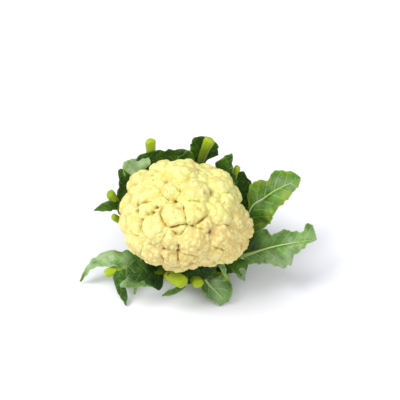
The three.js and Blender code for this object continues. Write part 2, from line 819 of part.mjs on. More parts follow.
function solidOf(geometry) {
  const bare = geometry.clone();
  bare.deleteAttribute("normal");
  bare.deleteAttribute("uv");
  const merged = mergeVertices(bare, 1e-3);
  return new wasm.Manifold(
    new wasm.Mesh({
      numProp: 3,
      vertProperties: merged.attributes.position.array,
      triVerts: new Uint32Array(merged.index.array),
    }),
  );
}

function geometryOf(solid) {
  const { numVert, numProp, vertProperties, triVerts } = solid.getMesh();
  const positions = new Float32Array(numVert * 3);
  for (let i = 0; i < numVert; i += 1) {
    positions.set(vertProperties.subarray(i * numProp, i * numProp + 3), i * 3);
  }
  const geometry = new THREE.BufferGeometry();
  geometry.setAttribute("position", new THREE.BufferAttribute(positions, 3));
  geometry.setIndex(new THREE.BufferAttribute(triVerts, 1));
  geometry.computeVertexNormals();
  return geometry;
}

function largestBody(solid) {
  return solid.decompose().reduce((a, b) => (b.volume() > a.volume() ? b : a));
}

function leafSolid({ rib, blades }, extra = 0) {
  const midrib = solidOf(midribGeometry(rib, extra));
  return blades.reduce((whole, blade) => whole.add(solidOf(bladeGeometry(blade, extra))), midrib);
}

const stalk = solidOf(stalkGeometry());
const curd = solidOf(curdGeometry()).subtract(solidOf(stalkGeometry(GAP)));
const keepOut = solidOf(stalkGeometry(GAP)).add(solidOf(curdGeometry(GAP)));

// Each leaf is cut back from the stalk and the curd, and from the leaves before it where they would touch.
const pieces = { curd: largestBody(curd), stalk };
const grown = [];
for (const [name, leaf] of Object.entries(LEAVES)) {
  let solid = leafSolid(leaf).subtract(keepOut);
  for (const other of grown) {
    if (solid.intersect(other).volume() > 0) solid = solid.subtract(other);
  }
  pieces[name] = largestBody(solid);
  grown.push(leafSolid(leaf, GAP).add(leafSolid(leaf)));
}

const cauliflower = new THREE.Group();
cauliflower.name = "cauliflower";
for (const [name, solid] of Object.entries(pieces)) {
  const mesh = new THREE.Mesh(geometryOf(solid), finishOf(name));
  mesh.name = name;
  cauliflower.add(mesh);
}

export default cauliflower;
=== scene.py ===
"""A trimmed cauliflower, dressed over its fixed frame.

The frame holds the head, the stalk and sixteen leaves at their real size. This script builds finer
pieces in the same places: a head of florets made by Geometry Nodes, leaves with veins and waved edges,
and a cut stalk. Lists are in millimetres, as the frame's own drawing has them. Blender works in metres.
"""

import math
from collections import namedtuple

import bpy
import numpy as np
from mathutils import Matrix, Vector


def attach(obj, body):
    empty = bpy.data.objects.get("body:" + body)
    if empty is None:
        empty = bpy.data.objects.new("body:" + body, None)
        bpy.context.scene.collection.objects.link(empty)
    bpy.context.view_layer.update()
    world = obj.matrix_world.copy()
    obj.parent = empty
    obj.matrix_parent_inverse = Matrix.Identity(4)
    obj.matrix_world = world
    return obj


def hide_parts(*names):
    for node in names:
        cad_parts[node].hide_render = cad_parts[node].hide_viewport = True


bl_info = {
    "name": "Cauliflower",
    "version": (1, 0, 0),
    "blender": (4, 5, 0),
    "location": "View3D > Sidebar > Cauliflower",
    "description": "Builds a trimmed cauliflower with florets, leaves and a cut stalk",
    "category": "Object",
}

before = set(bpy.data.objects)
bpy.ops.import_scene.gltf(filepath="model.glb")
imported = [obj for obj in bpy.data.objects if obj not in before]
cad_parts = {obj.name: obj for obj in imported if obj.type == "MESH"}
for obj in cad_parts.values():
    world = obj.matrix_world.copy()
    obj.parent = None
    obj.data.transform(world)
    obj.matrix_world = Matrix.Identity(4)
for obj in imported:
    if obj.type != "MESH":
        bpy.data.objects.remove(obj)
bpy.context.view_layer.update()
MM = 0.001

# The head: an oblate body, fuller or drawn in here and there, covered by large florets. Each of these
# bulges has a height, a direction and a sharpness.
CURD_CENTRE = np.array([0.0, 0.0, 96.0])
CURD_HALF = np.array([71.0, 70.0, 51.0])
BULGES = (
    (13, (0.86, -0.36, -0.36), 7),  # low down at the front right
    (6, (-0.78, 0.44, 0.44), 7),  # high up at the back left
    (5, (-0.52, -0.6, -0.6), 7),  # low down at the front left
    (-5.5, (1, -0.01, -0.01), 7),  # drawn in at the right
    (-6, (-0.24, -0.69, -0.69), 7),  # and under the front
    (-6.5, (0.5, -0.61, -0.61), 7),
    (5, (-0.58, -0.576, -0.576), 30),  # small ones along its foot
    (-5, (-0.84, -0.385, -0.385), 30),
    (-2.5, (-0.31, -0.672, -0.672), 30),
    (6, (0.15, -0.699, -0.699), 30),
    (-3, (0.78, -0.44, -0.44), 30),
    (3, (0.94, -0.24, -0.24), 30),
    (-3, (-0.95, 0.22, 0.22), 30),
)
DOME_REACH = 1.15  # a large floret's dome reaches this many times its spread
UNDERSIDE = (-0.45, -0.8)  # heights of a direction between which florets give way to bare branches
UNDERSIDE_FLATTENING = 0.85

# Large florets in view from the front and 45 degrees above: to the right of the head's middle, above it,
# radius.
TO_VIEWER = np.array([0, -math.sqrt(0.5), math.sqrt(0.5)])
VIEW_UP = np.array([0, math.sqrt(0.5), math.sqrt(0.5)])
TO_RIGHT = np.array([1.0, 0.0, 0.0])
LARGE_FLORETS = (
    (-5, 58, 20),
    (-41, 49, 12),
    (-16, 33, 12),
    (14, 34, 17),
    (47, 42, 14),
    (59, 20, 11),
    (-46, 28, 14),
    (-26, 20, 7),
    (-66, 33, 8),
    (-71, 10, 9),
    (-49, 11, 9),
    (-13, 3, 16),
    (-38, -14, 16),
    (-63, -14, 10),
    (14, 7, 15),
    (27, -8, 10),
    (49, 3, 14),
    (69, -6, 10),
    (-8, -13, 9),
    (13, -31, 17),
    (-17, -30, 10),
    (-41, -50, 15),
    (-18, -52, 10),
    (4, -53, 12),
    (49, -27, 15),
    (72, -26, 9),
    (39, -46, 11),
    (9, -63, 10),
)
OTHER_FLORETS = 56  # places on a spiral for florets where the listed ones leave room
OTHER_SPREAD = 0.23  # in radians
LOWEST_FLORET = -0.75  # height of its direction

# Deep gaps between florets, in the same view: to the right, above, radius.
GAPS = (
    (-60, 15, 2.0),
    (-62, 6, 2.0),
    (-55, -9, 3.0),
    (-55, -14, 2.2),
    (-48, 4, 2.2),
    (-40, 4, 2.2),
    (-28, 6, 3.4),
    (-36, 12, 1.6),
    (-11, 20, 2.0),
    (-5, 10, 1.6),
    (-25, 45, 1.8),
    (-38, 48, 1.4),
    (34, 33, 3.0),
    (-26, 27, 1.4),
    (4, -9, 1.4),
    (12, -11, 1.8),
    (-11, -22, 1.8),
    (0, -19, 1.6),
    (34, -19, 1.8),
    (38, -20, 2.4),
    (56, -13, 2.2),
    (-6, -37, 1.8),
    (-7, -44, 2.2),
    (-24, -42, 1.8),
    (-16, -47, 2.4),
    (-8, -53, 2.0),
    (20, 8, 1.4),
    (47, 13, 1.4),
    (-70, 21, 1.8),
)

# Leaves: a midrib from the stalk to its cut end or tip, and any number of blades. Widths, and other values
# in lists, are at even steps along the line: full widths of a midrib, and half widths of a blade to the left
# and the right of its line. Shade is painted shade: how dark the head's shadow is painted. Dark marks are a
# place and a radius. An edge's lift tilts that side of the blade up and its curl bends it, in radians. A
# blade's wave has a height, a number of waves and a start. Wax is how much of its waxy underside's colour
# its front has, partly the real bloom and partly a painted sheen, and yellow how much painted light shining
# through the blade yellows it near its edge. The painted shade on its right side is multiplied by
# right_shade, and near_head is the painted shade next to the head. A whole blade keeps a pale vein along its
# middle.
ROW_LOW = 9
ROW_MIDDLE = 19
ROW_HIGH = 29
ROOT_RADIUS = 19


def root(degrees, row):
    """The start of a midrib, inside the stalk."""
    turn = math.radians(degrees)
    return (ROOT_RADIUS * math.cos(turn), ROOT_RADIUS * math.sin(turn), row)


UP = (0, 0, 1)
TO_FRONT = (0, -0.7, 0.7)
Rib = namedtuple("Rib", "line width face shade")
Edge = namedtuple("Edge", "width lift curl", defaults=[0, 0])
Blade = namedtuple(
    "Blade",
    "line face left right wave wax shade right_shade near_head yellow whole",
    defaults=[(0, 1, 0), 0, 0, 1, 0.85, 0, False],
)
Leaf = namedtuple("Leaf", "rib blades marks", defaults=[(), ()])
LEAVES = {
    # Left, drooping: the cut midrib points left, one rag reaches past it and one hangs to the surface.
    "leaf_01": Leaf(
        Rib(
            [root(197, ROW_LOW), [-46, -14, 21], [-74, -22, 28], [-97.5, -30, 26]],
            width=[20, 16, 13, 12.5], face=UP, shade=(0.9, 0.5, 0.15, 0),
        ),
        [
            Blade(
                [
                    [-46.5, -13, 26.5], [-69.5, -14, 35], [-94, -13, 34.5], [-113, -15, 27],
                    [-122, -19, 16.5], [-129.5, -23, 3],
                ],
                face=[0.1, -0.35, 1], wave=[2, 2.2, 0.5],
                left=Edge([8, 15, 15, 12, 6, 4, 1], curl=0.4),
                right=Edge([12, 14, 11.5, 10.5, 6.5, 3.5, 1], curl=-0.3),
                wax=(0.1, 0.25, 0.6, 1.0, 1.0, 0.7, 0.1), shade=(0.75, 0.45, 0.1, 0, 0, 0, 0.2),
            ),
            Blade(
                [[-77, -24, 30], [-80, -37, 28], [-78.5, -47, 17.5], [-73.5, -54, 7], [-71, -60, 1.5]],
                face=[-0.1, -0.65, 0.75], wave=[1.5, 2, 1],
                left=Edge([10, 14, 9, 5.5, 1], curl=-0.4),
                right=Edge([4, 7, 4.5, 3.5, 1], curl=0.3),
                shade=(0.1, 0.5, 0.55, 0.4, 0.3),
            ),
        ],
    ),
    # Front left, tucked under the head: a wide blade in painted shade, with a pale ragged edge folded
    # forwards.
    "leaf_02": Leaf(
        Rib(
            [root(223, ROW_HIGH), [-28, -28, 31], [-44, -40, 37]],
            width=[18, 12, 6], face=UP, shade=0.95,
        ),
        [
            Blade(
                [[-25.5, -26, 28.5], [-38, -38, 37], [-53, -44, 44], [-70.5, -47, 45.5]],
                face=[0, -0.6, 0.8], wave=[2, 2.3, 0],
                left=Edge([6, 22, 14, 11, 4], curl=-0.3),
                right=Edge([9, 16, 18, 16, 8], curl=-0.2),
                shade=(0.98, 0.97, 0.9, 0.65, 0.4),
            ),
            Blade(
                [[-37, -47, 27], [-52, -51, 35.5], [-66, -53, 36], [-77, -54, 31]],
                face=[0, -0.6, 0.8], wave=[1.2, 2.5, 0],
                left=Edge([4, 5.5, 6.5, 2], curl=-0.5),
                right=Edge([6.5, 8, 8, 3], curl=-0.4),
                wax=0.6, shade=(0.3, 0.12, 0.1, 0.1),
            ),
            Blade(
                [[-58, -52, 35], [-59, -56, 28.5], [-60, -58, 20.5]],
                face=[0, -0.6, 0.8],
                left=Edge([3, 1.8, 1.3]),
                right=Edge([3, 1.8, 1.3]),
                wax=0.5, shade=0.3,
            ),
        ],
    ),
    # Front: the stoutest midrib, bent to the right and cut blunt, with one pointed rag under it.
    "leaf_03": Leaf(
        Rib(
            [root(248, ROW_LOW), [-13, -34, 23], [-15.5, -48, 44], [-8, -58, 48.5], [0.5, -66.5, 51]],
            width=[20, 18, 18, 18, 17], face=UP, shade=(1, 0.9, 0.3, 0.12, 0.08),
        ),
        [
            Blade(
                [[1, -66, 47], [-9, -63, 34.5], [-18.5, -62, 28.5], [-27, -61, 22]],
                face=[0, -0.6, 0.8],
                left=Edge([2, 3, 3.5, 1]),
                right=Edge([2, 4, 3.5, 1]),
                shade=0.45,
            ),
        ],
        marks=((-18.5, -52, 50.5, 3.2), (-14, -56, 49.5, 3.2)),
    ),
    # Front: a short cut midrib; the blade behind it is painted nearly black to fill the shade under the
    # head.
    "leaf_04": Leaf(
        Rib(
            [root(283, ROW_HIGH), [11, -38, 32], [16.5, -62, 44]],
            width=[18, 13.5, 14], face=UP, shade=(1, 0.8, 0.15),
        ),
        [
            Blade(
                [[-13, -43, 37], [6.5, -45, 38.5], [23, -42, 42.5], [37.5, -37, 46.5]],
                face=[0, -0.7, 0.7], wave=[1, 2, 0],
                left=Edge([4, 8, 8, 4], curl=0.2),
                right=Edge([4, 9, 8, 5], curl=0.2),
                shade=0.98,
            ),
        ],
    ),
    # Front right: a whole short leaf that hangs down to the surface.
    "leaf_05": Leaf(
        Rib(
            [
                root(303, ROW_MIDDLE), [19, -29, 27], [22.5, -38, 30.5], [28.5, -44, 23.5],
                [36, -50, 18.5], [46.5, -57, 10],
            ],
            width=[18, 12, 5, 4, 3, 1.4], face=TO_FRONT, shade=(1, 0.9, 0.5, 0.2, 0.1, 0),
        ),
        [
            Blade(
                [
                    [22, -34, 30.5], [28.5, -43, 22.5], [36, -49, 17], [42.5, -54.5, 11.5],
                    [42.5, -60, 1],
                ],
                face=[0.1, -0.7, 0.7], wave=[1.5, 2.5, 0.6],
                left=Edge([8, 14, 19, 21, 20.5, 11, 1], curl=0.25),
                right=Edge([4, 7, 11, 13, 12, 8, 1], curl=0.3),
                wax=0.35, whole=True, shade=(0.95, 0.55, 0.15, 0.1, 0.1, 0, 0),
            ),
            Blade(
                [[39.5, -42, 61.5], [44.5, -44, 50], [50, -42, 34], [57, -36, 12]],
                face=[0.1, -0.7, 0.7],
                left=Edge([7, 5, 1.5, 1.5, 1]),
                right=Edge([1, 1.6, 2, 3, 1.5]),
                wax=0.4, shade=0.15, near_head=0.2,
            ),
        ],
    ),
    # Front right, behind the last: a cut midrib.
    "leaf_06": Leaf(
        Rib(
            [root(319, ROW_LOW), [33, -25, 18], [52.5, -38, 26.5]],
            width=[18, 14, 12], face=UP, shade=(1, 0.7, 0.25),
        ),
    ),
    # Right front: a narrow rag whose tip folds over and hangs down.
    "leaf_07": Leaf(
        Rib(
            [root(333, ROW_HIGH), [38, -19, 31], [54, -27, 30]],
            width=[16, 9, 4], face=UP, shade=0.8,
        ),
        [
            Blade(
                [[38, -19, 20], [54.5, -26, 34], [66.5, -31, 34], [73, -37, 20.5]],
                face=[0.2, -0.4, 1], wave=[1.5, 1.6, 0.5],
                left=Edge([4, 12, 16, 1], curl=-0.4),
                right=Edge([4, 8, 7, 1], curl=-0.5),
                shade=(0.9, 0.7, 0.5, 0.5),
            ),
            Blade(
                [[71.5, -30, 36.5], [68.5, -34, 30.5], [72.5, -38, 22]],
                face=[0, -0.7, 0.7],
                left=Edge([4, 5, 1]),
                right=Edge([4, 5.5, 1]),
                wax=0.8, shade=0.4,
            ),
        ],
    ),
    # Right: the longest leaf, whole, with a lobed lower edge and a tip that turns up.
    "leaf_08": Leaf(
        Rib(
            [
                root(352, ROW_MIDDLE), [44, -8, 27], [72, -13, 40.5], [93, -14.5, 52], [114.5, -15, 61],
                [148.5, -14, 68.5],
            ],
            width=[19, 14, 5.2, 3.2, 2.4, 1], face=[-0.1, -0.45, 0.9], shade=(1, 0.8, 0.3, 0.05, 0, 0),
        ),
        [
            Blade(
                [
                    [71, -12, 39], [93.5, -13, 50.5], [114.5, -13, 58.5], [136, -13, 64],
                    [158, -12, 70.5],
                ],
                face=[-0.1, -0.5, 0.85], wave=[2.4, 3.6, 1.2],
                left=Edge([
                    14.5, 16.5, 18.5, 20, 22, 23, 24.5, 25, 24, 14, 16, 17.5, 19, 17, 15, 13.5, 10.5,
                    12, 20, 20, 16,
                ], lift=0.1, curl=0.2),
                right=Edge([15, 13, 15, 18, 23, 28, 26, 13, 9, 4, 1.5], lift=0.05, curl=-0.4),
                wax=(0.2, 0.35, 0.45, 0.55, 0.5, 0.3), shade=(1, 0.9, 0.7, 0.5, 0.3, 0.1, 0, 0.1, 0.2),
                right_shade=0.15, whole=True,
            ),
        ],
    ),
    # Right, behind: a broad whole leaf that rises outwards.
    "leaf_09": Leaf(
        Rib(
            [
                root(24, ROW_LOW), [42, 19, 16], [64, 29, 33], [77.5, 32, 66.5], [84, 34, 81],
                [95, 35, 90], [109, 37, 102], [127, 41, 110],
            ],
            width=[20, 18, 13.5, 7, 3.4, 2.4, 1.8, 1], face=[-0.3, -0.55, 0.75],
            shade=(1, 1, 0.9, 0.5, 0.15, 0, 0, 0),
        ),
        [
            Blade(
                [
                    [73, 29, 48], [83.5, 34, 69.5], [95, 37, 86.5], [107, 39, 97.5], [120, 42, 105],
                    [140, 46, 115],
                ],
                face=[-0.2, -0.6, 0.75], wave=[2, 3.1, 0.3],
                left=Edge([4, 4, 5, 8, 18, 26, 23, 15, 22, 19, 13, 3], lift=0.1, curl=-0.1),
                right=Edge([20, 20, 24, 28, 26, 23, 20, 21, 18, 13, 9, 3], lift=0.1, curl=-0.2),
                wax=(0.05, 0.05, 0.1, 0.1, 0.25, 0.15),
                # Painted shade near the head, and painted light yellowing its edges where light shines
                # through.
                shade=(0.95, 0.9, 0.6, 0.35, 0.15, 0.1, 0, 0, 0.2), right_shade=0.5, yellow=0.5,
                whole=True,
            ),
        ],
    ),
    # Right, behind: an upright rag close to the head, painted dark to fill the shade beside it.
    "leaf_10": Leaf(
        Rib(
            [root(38, ROW_HIGH), [37, 29, 31], [56, 45, 45], [66, 56, 66]],
            width=[17, 14, 11, 6], face=[-0.7, -0.7, 0.3], shade=0.9,
        ),
        [
            Blade(
                [[58.5, 44, 39.5], [72, 52, 60], [74.5, 56, 75.5], [74, 60, 91], [70, 64, 109]],
                face=[-0.35, -0.85, 0.35], wave=[1.2, 1.7, 0],
                left=Edge([6, 13, 14, 14, 9], curl=0.3),
                right=Edge([14, 14, 12, 9.5, 2], curl=0.3),
                shade=0.92,
            ),
        ],
    ),
    # Back right: a cut midrib with a curled rag that rises to a point.
    "leaf_11": Leaf(
        Rib(
            [
                root(54, ROW_MIDDLE), [30, 40, 23], [46, 59, 37], [56, 67, 59], [60, 66, 85],
                [61, 66, 100.5], [65, 67, 114],
            ],
            width=[19, 18, 15, 13, 10, 8.5, 8.5], face=[-0.7, -0.7, 0.2],
            shade=(1, 1, 0.9, 0.7, 0.5, 0.35, 0.15),
        ),
        [
            Blade(
                [
                    [42, 55, 34], [55, 66, 57], [57, 66, 88.5], [54, 66, 109], [54.5, 68, 120.5],
                    [57.5, 70, 132.5],
                ],
                face=[-0.5, -0.85, 0.2], wave=[1.2, 1.4, 0],
                left=Edge([5, 8, 10, 11, 11, 11, 11, 12, 15, 18.5, 9, 1], curl=0.3),
                right=Edge([5, 8, 9, 9, 9, 9, 9, 10, 8, 6.5, 5, 1.5], curl=0.3),
                shade=(0.8, 0.8, 0.6, 0.4), right_shade=0.7,
            ),
        ],
    ),
    # Back: a thick bright midrib that leans right at its cut end, with a blade on each side.
    "leaf_12": Leaf(
        Rib(
            [
                root(72, ROW_LOW), [14, 43, 14], [19, 67, 29], [21, 84, 53], [20, 88, 77],
                [19.5, 84, 105.5], [22.5, 83, 120], [26.5, 82, 134], [31, 83, 145],
            ],
            width=[20, 19, 17, 15, 13, 9, 8.5, 10.5, 14], face=[-0.2, -1, 0.3],
            shade=(1, 1, 0.9, 0.9, 0.9, 0.95, 0.95, 0.75, 0.1),
        ),
        [
            Blade(
                [
                    [18, 60, 25], [21, 82, 50], [20, 89, 74], [18.5, 89, 99], [19, 88, 115.5],
                    [22.5, 88, 130], [26.5, 90, 143],
                ],
                face=[-0.1, -1, 0.3], wave=[1, 1.5, 0],
                left=Edge([7, 12, 14, 13, 9, 7, 8, 10, 15, 17, 13], curl=0.5),
                right=Edge([7, 12, 14, 13, 9, 5.5, 5.5, 10, 23, 20, 11], curl=-0.3),
                shade=(0.9, 0.8, 0.7, 0.65),
            ),
        ],
    ),
    # Back left: a tall cut midrib with a rag folded over the head and another along its back.
    "leaf_13": Leaf(
        Rib(
            [
                root(117, ROW_MIDDLE), [-18, 40, 23], [-29, 61, 37], [-37, 77, 58], [-42, 83, 84],
                [-43, 83, 108], [-42, 84, 122], [-42, 85, 141.5],
            ],
            width=[20, 19, 17, 15, 13, 11, 11.5, 13], face=[0.4, -0.9, 0.1],
            shade=(1, 1, 0.9, 0.8, 0.6, 0.4, 0.05, 0),
        ),
        [
            Blade(
                [[-26, 55, 32], [-36, 74, 55], [-42, 82, 78], [-43, 83, 98]],
                face=[0.4, -0.9, 0.1], wave=[1.5, 2.2, 1],
                left=Edge([7, 14, 14, 7], curl=0.4),
                right=Edge([7, 14, 13, 7], curl=0.4),
                shade=0.7,
            ),
            Blade(
                [[-43, 75, 118], [-55, 69, 116], [-66.5, 60, 118], [-75.5, 54, 124]],
                face=[0.1, -0.6, 0.8], wave=[1, 1.5, 0.4],
                left=Edge([6, 9, 12, 8], curl=-0.2),
                right=Edge([7, 10, 11, 7], curl=-0.3),
                wax=1.0, near_head=0.02,
            ),
            Blade(
                [
                    [-56.5, 68, 103.5], [-45.5, 75, 114], [-31, 81, 116.5], [-9, 87, 114.5],
                    [12, 90, 108.5],
                ],
                face=[0.1, -1, 0.3], wave=[0.8, 2, 0],
                left=Edge([6, 14, 12, 9, 8, 9, 8], curl=0.2),
                right=Edge([6, 9, 9, 9, 8, 8, 4], curl=0.2),
                shade=(0.8, 0.8, 0.75, 0.45, 0.3),
            ),
        ],
    ),
    # Back: a blade that stands against the head.
    "leaf_14": Leaf(
        Rib(
            [root(95, ROW_HIGH), [-4, 42, 32], [-5, 63, 44], [-6, 79, 63], [-5, 85, 83], [0, 86, 98]],
            width=[18, 16, 14, 11, 8, 5], face=[0, -1, 0.2], shade=0.8,
        ),
        [
            Blade(
                [[-5, 58, 41], [-6, 77, 61], [-5, 84, 80], [0, 86, 96], [2.5, 84, 114], [5, 84, 125.5]],
                face=[0, -1, 0.1], wave=[1.2, 1.8, 0.8],
                left=Edge([6, 11, 12, 12, 12, 4], curl=0.3),
                right=Edge([6, 11, 12, 12, 11, 5], curl=0.4),
                shade=0.2,
            ),
        ],
    ),
    # Left: a cut midrib that bends outwards, one rag above it and one pointed rag to the left.
    "leaf_15": Leaf(
        Rib(
            [
                root(152, ROW_HIGH), [-42, 22, 33], [-67, 34, 48], [-81, 38, 73], [-85, 34, 87],
                [-90.5, 32, 103.5],
            ],
            width=[19, 17, 14, 12, 12, 13], face=[0.9, -0.3, 0.2], shade=(1, 0.9, 0.8, 0.6, 0.5, 0.35),
        ),
        [
            Blade(
                [[-52, 27, 39], [-68, 35, 53], [-79, 39, 70], [-83, 38, 84]],
                face=[0.9, -0.3, 0.2], wave=[1.2, 2, 0.5],
                left=Edge([6, 10, 10, 5], curl=0.4),
                right=Edge([6, 13, 14, 8], curl=0.4),
            ),
            Blade(
                [[-81, 38, 76], [-78, 41, 92], [-75.5, 46, 106], [-77.5, 52, 124.5]],
                face=[0.5, -0.8, 0.3], wave=[1, 1.5, 0],
                left=Edge([6, 5.5, 6, 5, 3], curl=0.2),
                right=Edge([8, 9, 10, 11, 3], curl=0.3),
                shade=0.75,
            ),
            Blade(
                [[-81.5, 31, 81.5], [-89.5, 23, 89.5], [-99, 17, 93], [-108.5, 12, 93]],
                face=[0, -0.85, 0.5], wave=[0.8, 1.5, 0],
                left=Edge([5, 6.5, 5, 1], curl=0.2),
                right=Edge([7, 7, 5.5, 1], curl=-0.3),
                shade=(0.6, 0.5, 0.5, 0.4),
            ),
        ],
    ),
    # Left: the smallest cut midrib.
    "leaf_16": Leaf(
        Rib(
            [root(168, ROW_MIDDLE), [-46, 11, 24], [-68, 20, 39], [-78, 26, 57], [-88, 22, 73]],
            width=[17, 13, 10, 9, 9.5], face=[1, 0, 0.2], shade=(1, 0.9, 0.8, 0.5, 0.1),
        ),
        [
            Blade(
                [[-48, 12, 26], [-62, 17, 35], [-72, 23, 48], [-78, 25, 58]],
                face=[0.9, -0.2, 0.3], wave=[1, 2, 0],
                left=Edge([6, 11, 10, 3], curl=0.4),
                right=Edge([5, 7, 6, 2], curl=0.4),
                shade=0.6,
            ),
        ],
    ),
}


# Settings

def colour(red, green, blue):
    """A colour given as screen values from 0 to 255, in the linear values that the shaders use."""
    parts = [c / 255 for c in (red, green, blue)]
    return tuple(c / 12.92 if c <= 0.04045 else ((c + 0.055) / 1.055) ** 2.4 for c in parts)


def colour_setting(name, description, *screen):
    return bpy.props.FloatVectorProperty(
        name=name, description=description, default=colour(*screen), subtype="COLOR", min=0, max=1
    )


def length_setting(name, description, millimetres):
    return bpy.props.FloatProperty(
        name=name, description=description, default=millimetres * MM, unit="LENGTH", min=0, precision=4
    )


class HeadSettings(bpy.types.PropertyGroup):
    dome: length_setting("Dome height", "Height of a large floret for each radian it spreads over", 34)
    cleft: length_setting("Cleft depth", "How much deeper the surface cuts in between large florets", 5.5)
    gap: length_setting("Gap depth", "Depth of the few open gaps between large florets", 5)
    floret_spacing: length_setting("Floret spacing", "From one small floret to the next", 8.6)
    floret_height: length_setting("Floret height", "How far a small floret stands out", 1.5)
    cluster_spacing: length_setting("Cluster spacing", "From one cluster of buds to the next", 4.0)
    cluster_height: length_setting("Cluster height", "How far a cluster of buds stands out", 1.05)
    bud_spacing: length_setting("Bud spacing", "From one bud to the next", 2.3)
    bud_height: length_setting("Bud height", "How far a bud stands out", 0.5)
    cream: colour_setting("Top colour", "Colour of the florets where they are full", 243, 242, 158)
    # Painted shade: the lower colour darkens the head's lower and right side, where its florets are also
    # grainier.
    shade: colour_setting("Lower colour", "Colour of the grainy florets low on the head", 234, 222, 152)
    # Painted shade: tan in the clefts and between the florets.
    tan: colour_setting("Cleft colour", "Colour down in the clefts", 204, 154, 44)
    # Painted shade deep in the gaps; the few dark specks, which are real, use this colour too.
    brown: colour_setting("Gap colour", "Colour deep in the gaps", 140, 88, 12)
    branch: colour_setting("Branch colour", "Colour of the bare branches under the head", 222, 226, 176)


class LeafSettings(bpy.types.PropertyGroup):
    thickness: length_setting("Thickness", "Of a blade, away from its thin edge", 0.9)
    vein_spacing: length_setting("Vein spacing", "Between side veins along a large leaf", 14)
    pucker: length_setting("Pucker", "How far the blade swells between its veins", 0.8)
    ruffle: length_setting("Ruffle", "Height of the small waves along a blade's edge", 1.3)
    green: colour_setting("Upper side", "Colour of a blade's upper side", 82, 138, 20)
    deep_green: colour_setting("Upper side, deep", "Its darker patches", 44, 92, 14)
    under: colour_setting("Underside", "Colour of a blade's waxy underside", 172, 196, 152)
    vein: colour_setting("Veins", "Colour of the side veins and the fine net", 186, 212, 138)
    rib: colour_setting("Midrib", "Colour of a midrib along its length", 176, 196, 60)
    stub: colour_setting("Cut midrib", "Colour of a midrib near its cut end", 170, 196, 14)


class StalkSettings(bpy.types.PropertyGroup):
    foot: length_setting("Foot radius", "At the cut face that the part stands on", 22)
    waist: length_setting("Waist radius", "Half way up", 24)
    neck: length_setting("Neck radius", "Where the head's branches begin", 28)
    height: length_setting("Height", "From the cut face to inside the head", 46)
    skin: colour_setting("Skin", "Colour of the stalk's sides", 206, 220, 150)
    pith: colour_setting("Pith", "Colour of the cut face", 238, 240, 208)


class StageSettings(bpy.types.PropertyGroup):
    elevation: bpy.props.FloatProperty(
        name="Elevation", description="How far above level the camera looks from", default=math.radians(45),
        subtype="ANGLE",
    )
    distance: length_setting("Distance", "From the camera to the middle of the picture", 1100)
    lens: bpy.props.FloatProperty(
        name="Lens", description="Focal length on a 36 mm wide sensor", default=83.54, min=1, unit="CAMERA"
    )
    key: bpy.props.FloatProperty(
        name="Key light", description="Strength of the soft light from the upper left", default=2.1, min=0
    )
    fill: bpy.props.FloatProperty(
        name="Fill light", description="Strength of the wide light from the front", default=1.58, min=0
    )
    ambient: bpy.props.FloatProperty(
        name="Ambient", description="Strength of the light from all around", default=0.28, min=0
    )
    floor: colour_setting("Floor", "Colour of the floor", 247, 247, 254)


def settings(group):
    return getattr(bpy.context.scene, group)


# Numbers shared by the pieces

def smoothstep(low, high, value):
    t = np.clip((np.asarray(value, float) - low) / (high - low), 0, 1)
    return t * t * (3 - 2 * t)


def unit(vectors):
    return vectors / np.linalg.norm(vectors, axis=-1, keepdims=True)


def noise(points, size, seed):
    """Smooth noise from -1 to 1 at points in millimetres, with features of the size given."""
    place = np.asarray(points, float) / size
    cell = np.floor(place).astype(np.int64)
    part = place - cell
    ease = part * part * (3 - 2 * part)
    total = np.zeros(len(place))
    for corner in np.ndindex(2, 2, 2):
        at = cell + corner
        mixed = at[:, 0] * 73856093 ^ at[:, 1] * 19349663 ^ at[:, 2] * 83492791 ^ seed * 40503
        mixed = (mixed ^ mixed >> 13) * 1274126177 & 0x7FFFFFFF
        mixed = (mixed ^ mixed >> 15) & 0xFFFF
        weight = np.prod(np.where(corner, ease, 1 - ease), axis=1)
        total += weight * (mixed / 32767.5 - 1)
    return total


def wander(place, size, seed):
    """Smooth noise from -1 to 1 along one direction."""
    place = np.asarray(place, float)
    points = np.stack([place.ravel(), np.full(place.size, 7.3), np.full(place.size, 2.9)], axis=1)
    return noise(points, size, seed).reshape(place.shape)


def random_sequence(seed):
    """Even random numbers from 0 to 1, the same ones each run."""
    state = seed
    while True:
        state = (state * 1664525 + 1013904223) % 4294967296
        yield state / 4294967296


# Meshes

class Patch:
    """A stretch of surface: points in millimetres, faces as lists of point numbers, and named values."""

    def __init__(self, points, faces, **values):
        self.points = np.asarray(points, float)
        self.faces = faces
        self.values = {name: np.broadcast_to(v, len(self.points)).copy() for name, v in values.items()}


def joined(patches):
    """One patch made of several, with nothing moved."""
    faces = []
    start = 0
    for patch in patches:
        faces += [[start + i for i in face] for face in patch.faces]
        start += len(patch.points)
    values = {}
    for name in sorted({name for patch in patches for name in patch.values}):
        parts = [patch.values.get(name, np.zeros(len(patch.points))) for patch in patches]
        values[name] = np.concatenate(parts)
    return Patch(np.concatenate([p.points for p in patches]), faces, **values)


def mesh_object(name, patch):
    """A smooth-shaded object from a patch; flat_u and flat_v become its UV map, in millimetres."""
    mesh = bpy.data.meshes.new(name)
    mesh.from_pydata((patch.points * MM).tolist(), [], patch.faces)
    mesh.update()
    values = dict(patch.values)
    if "flat_u" in values:
        corners = np.zeros(len(mesh.loops), int)
        mesh.loops.foreach_get("vertex_index", corners)
        flat = np.stack([values.pop("flat_u"), values.pop("flat_v")], axis=1)[corners]
        mesh.uv_layers.new(name="flat").data.foreach_set("uv", flat.ravel())
    for key, value in values.items():
        mesh.attributes.new(key, "FLOAT", "POINT").data.foreach_set("value", value)
    mesh.shade_smooth()
    piece = bpy.data.objects.new(name, mesh)
    bpy.context.scene.collection.objects.link(piece)
    return piece


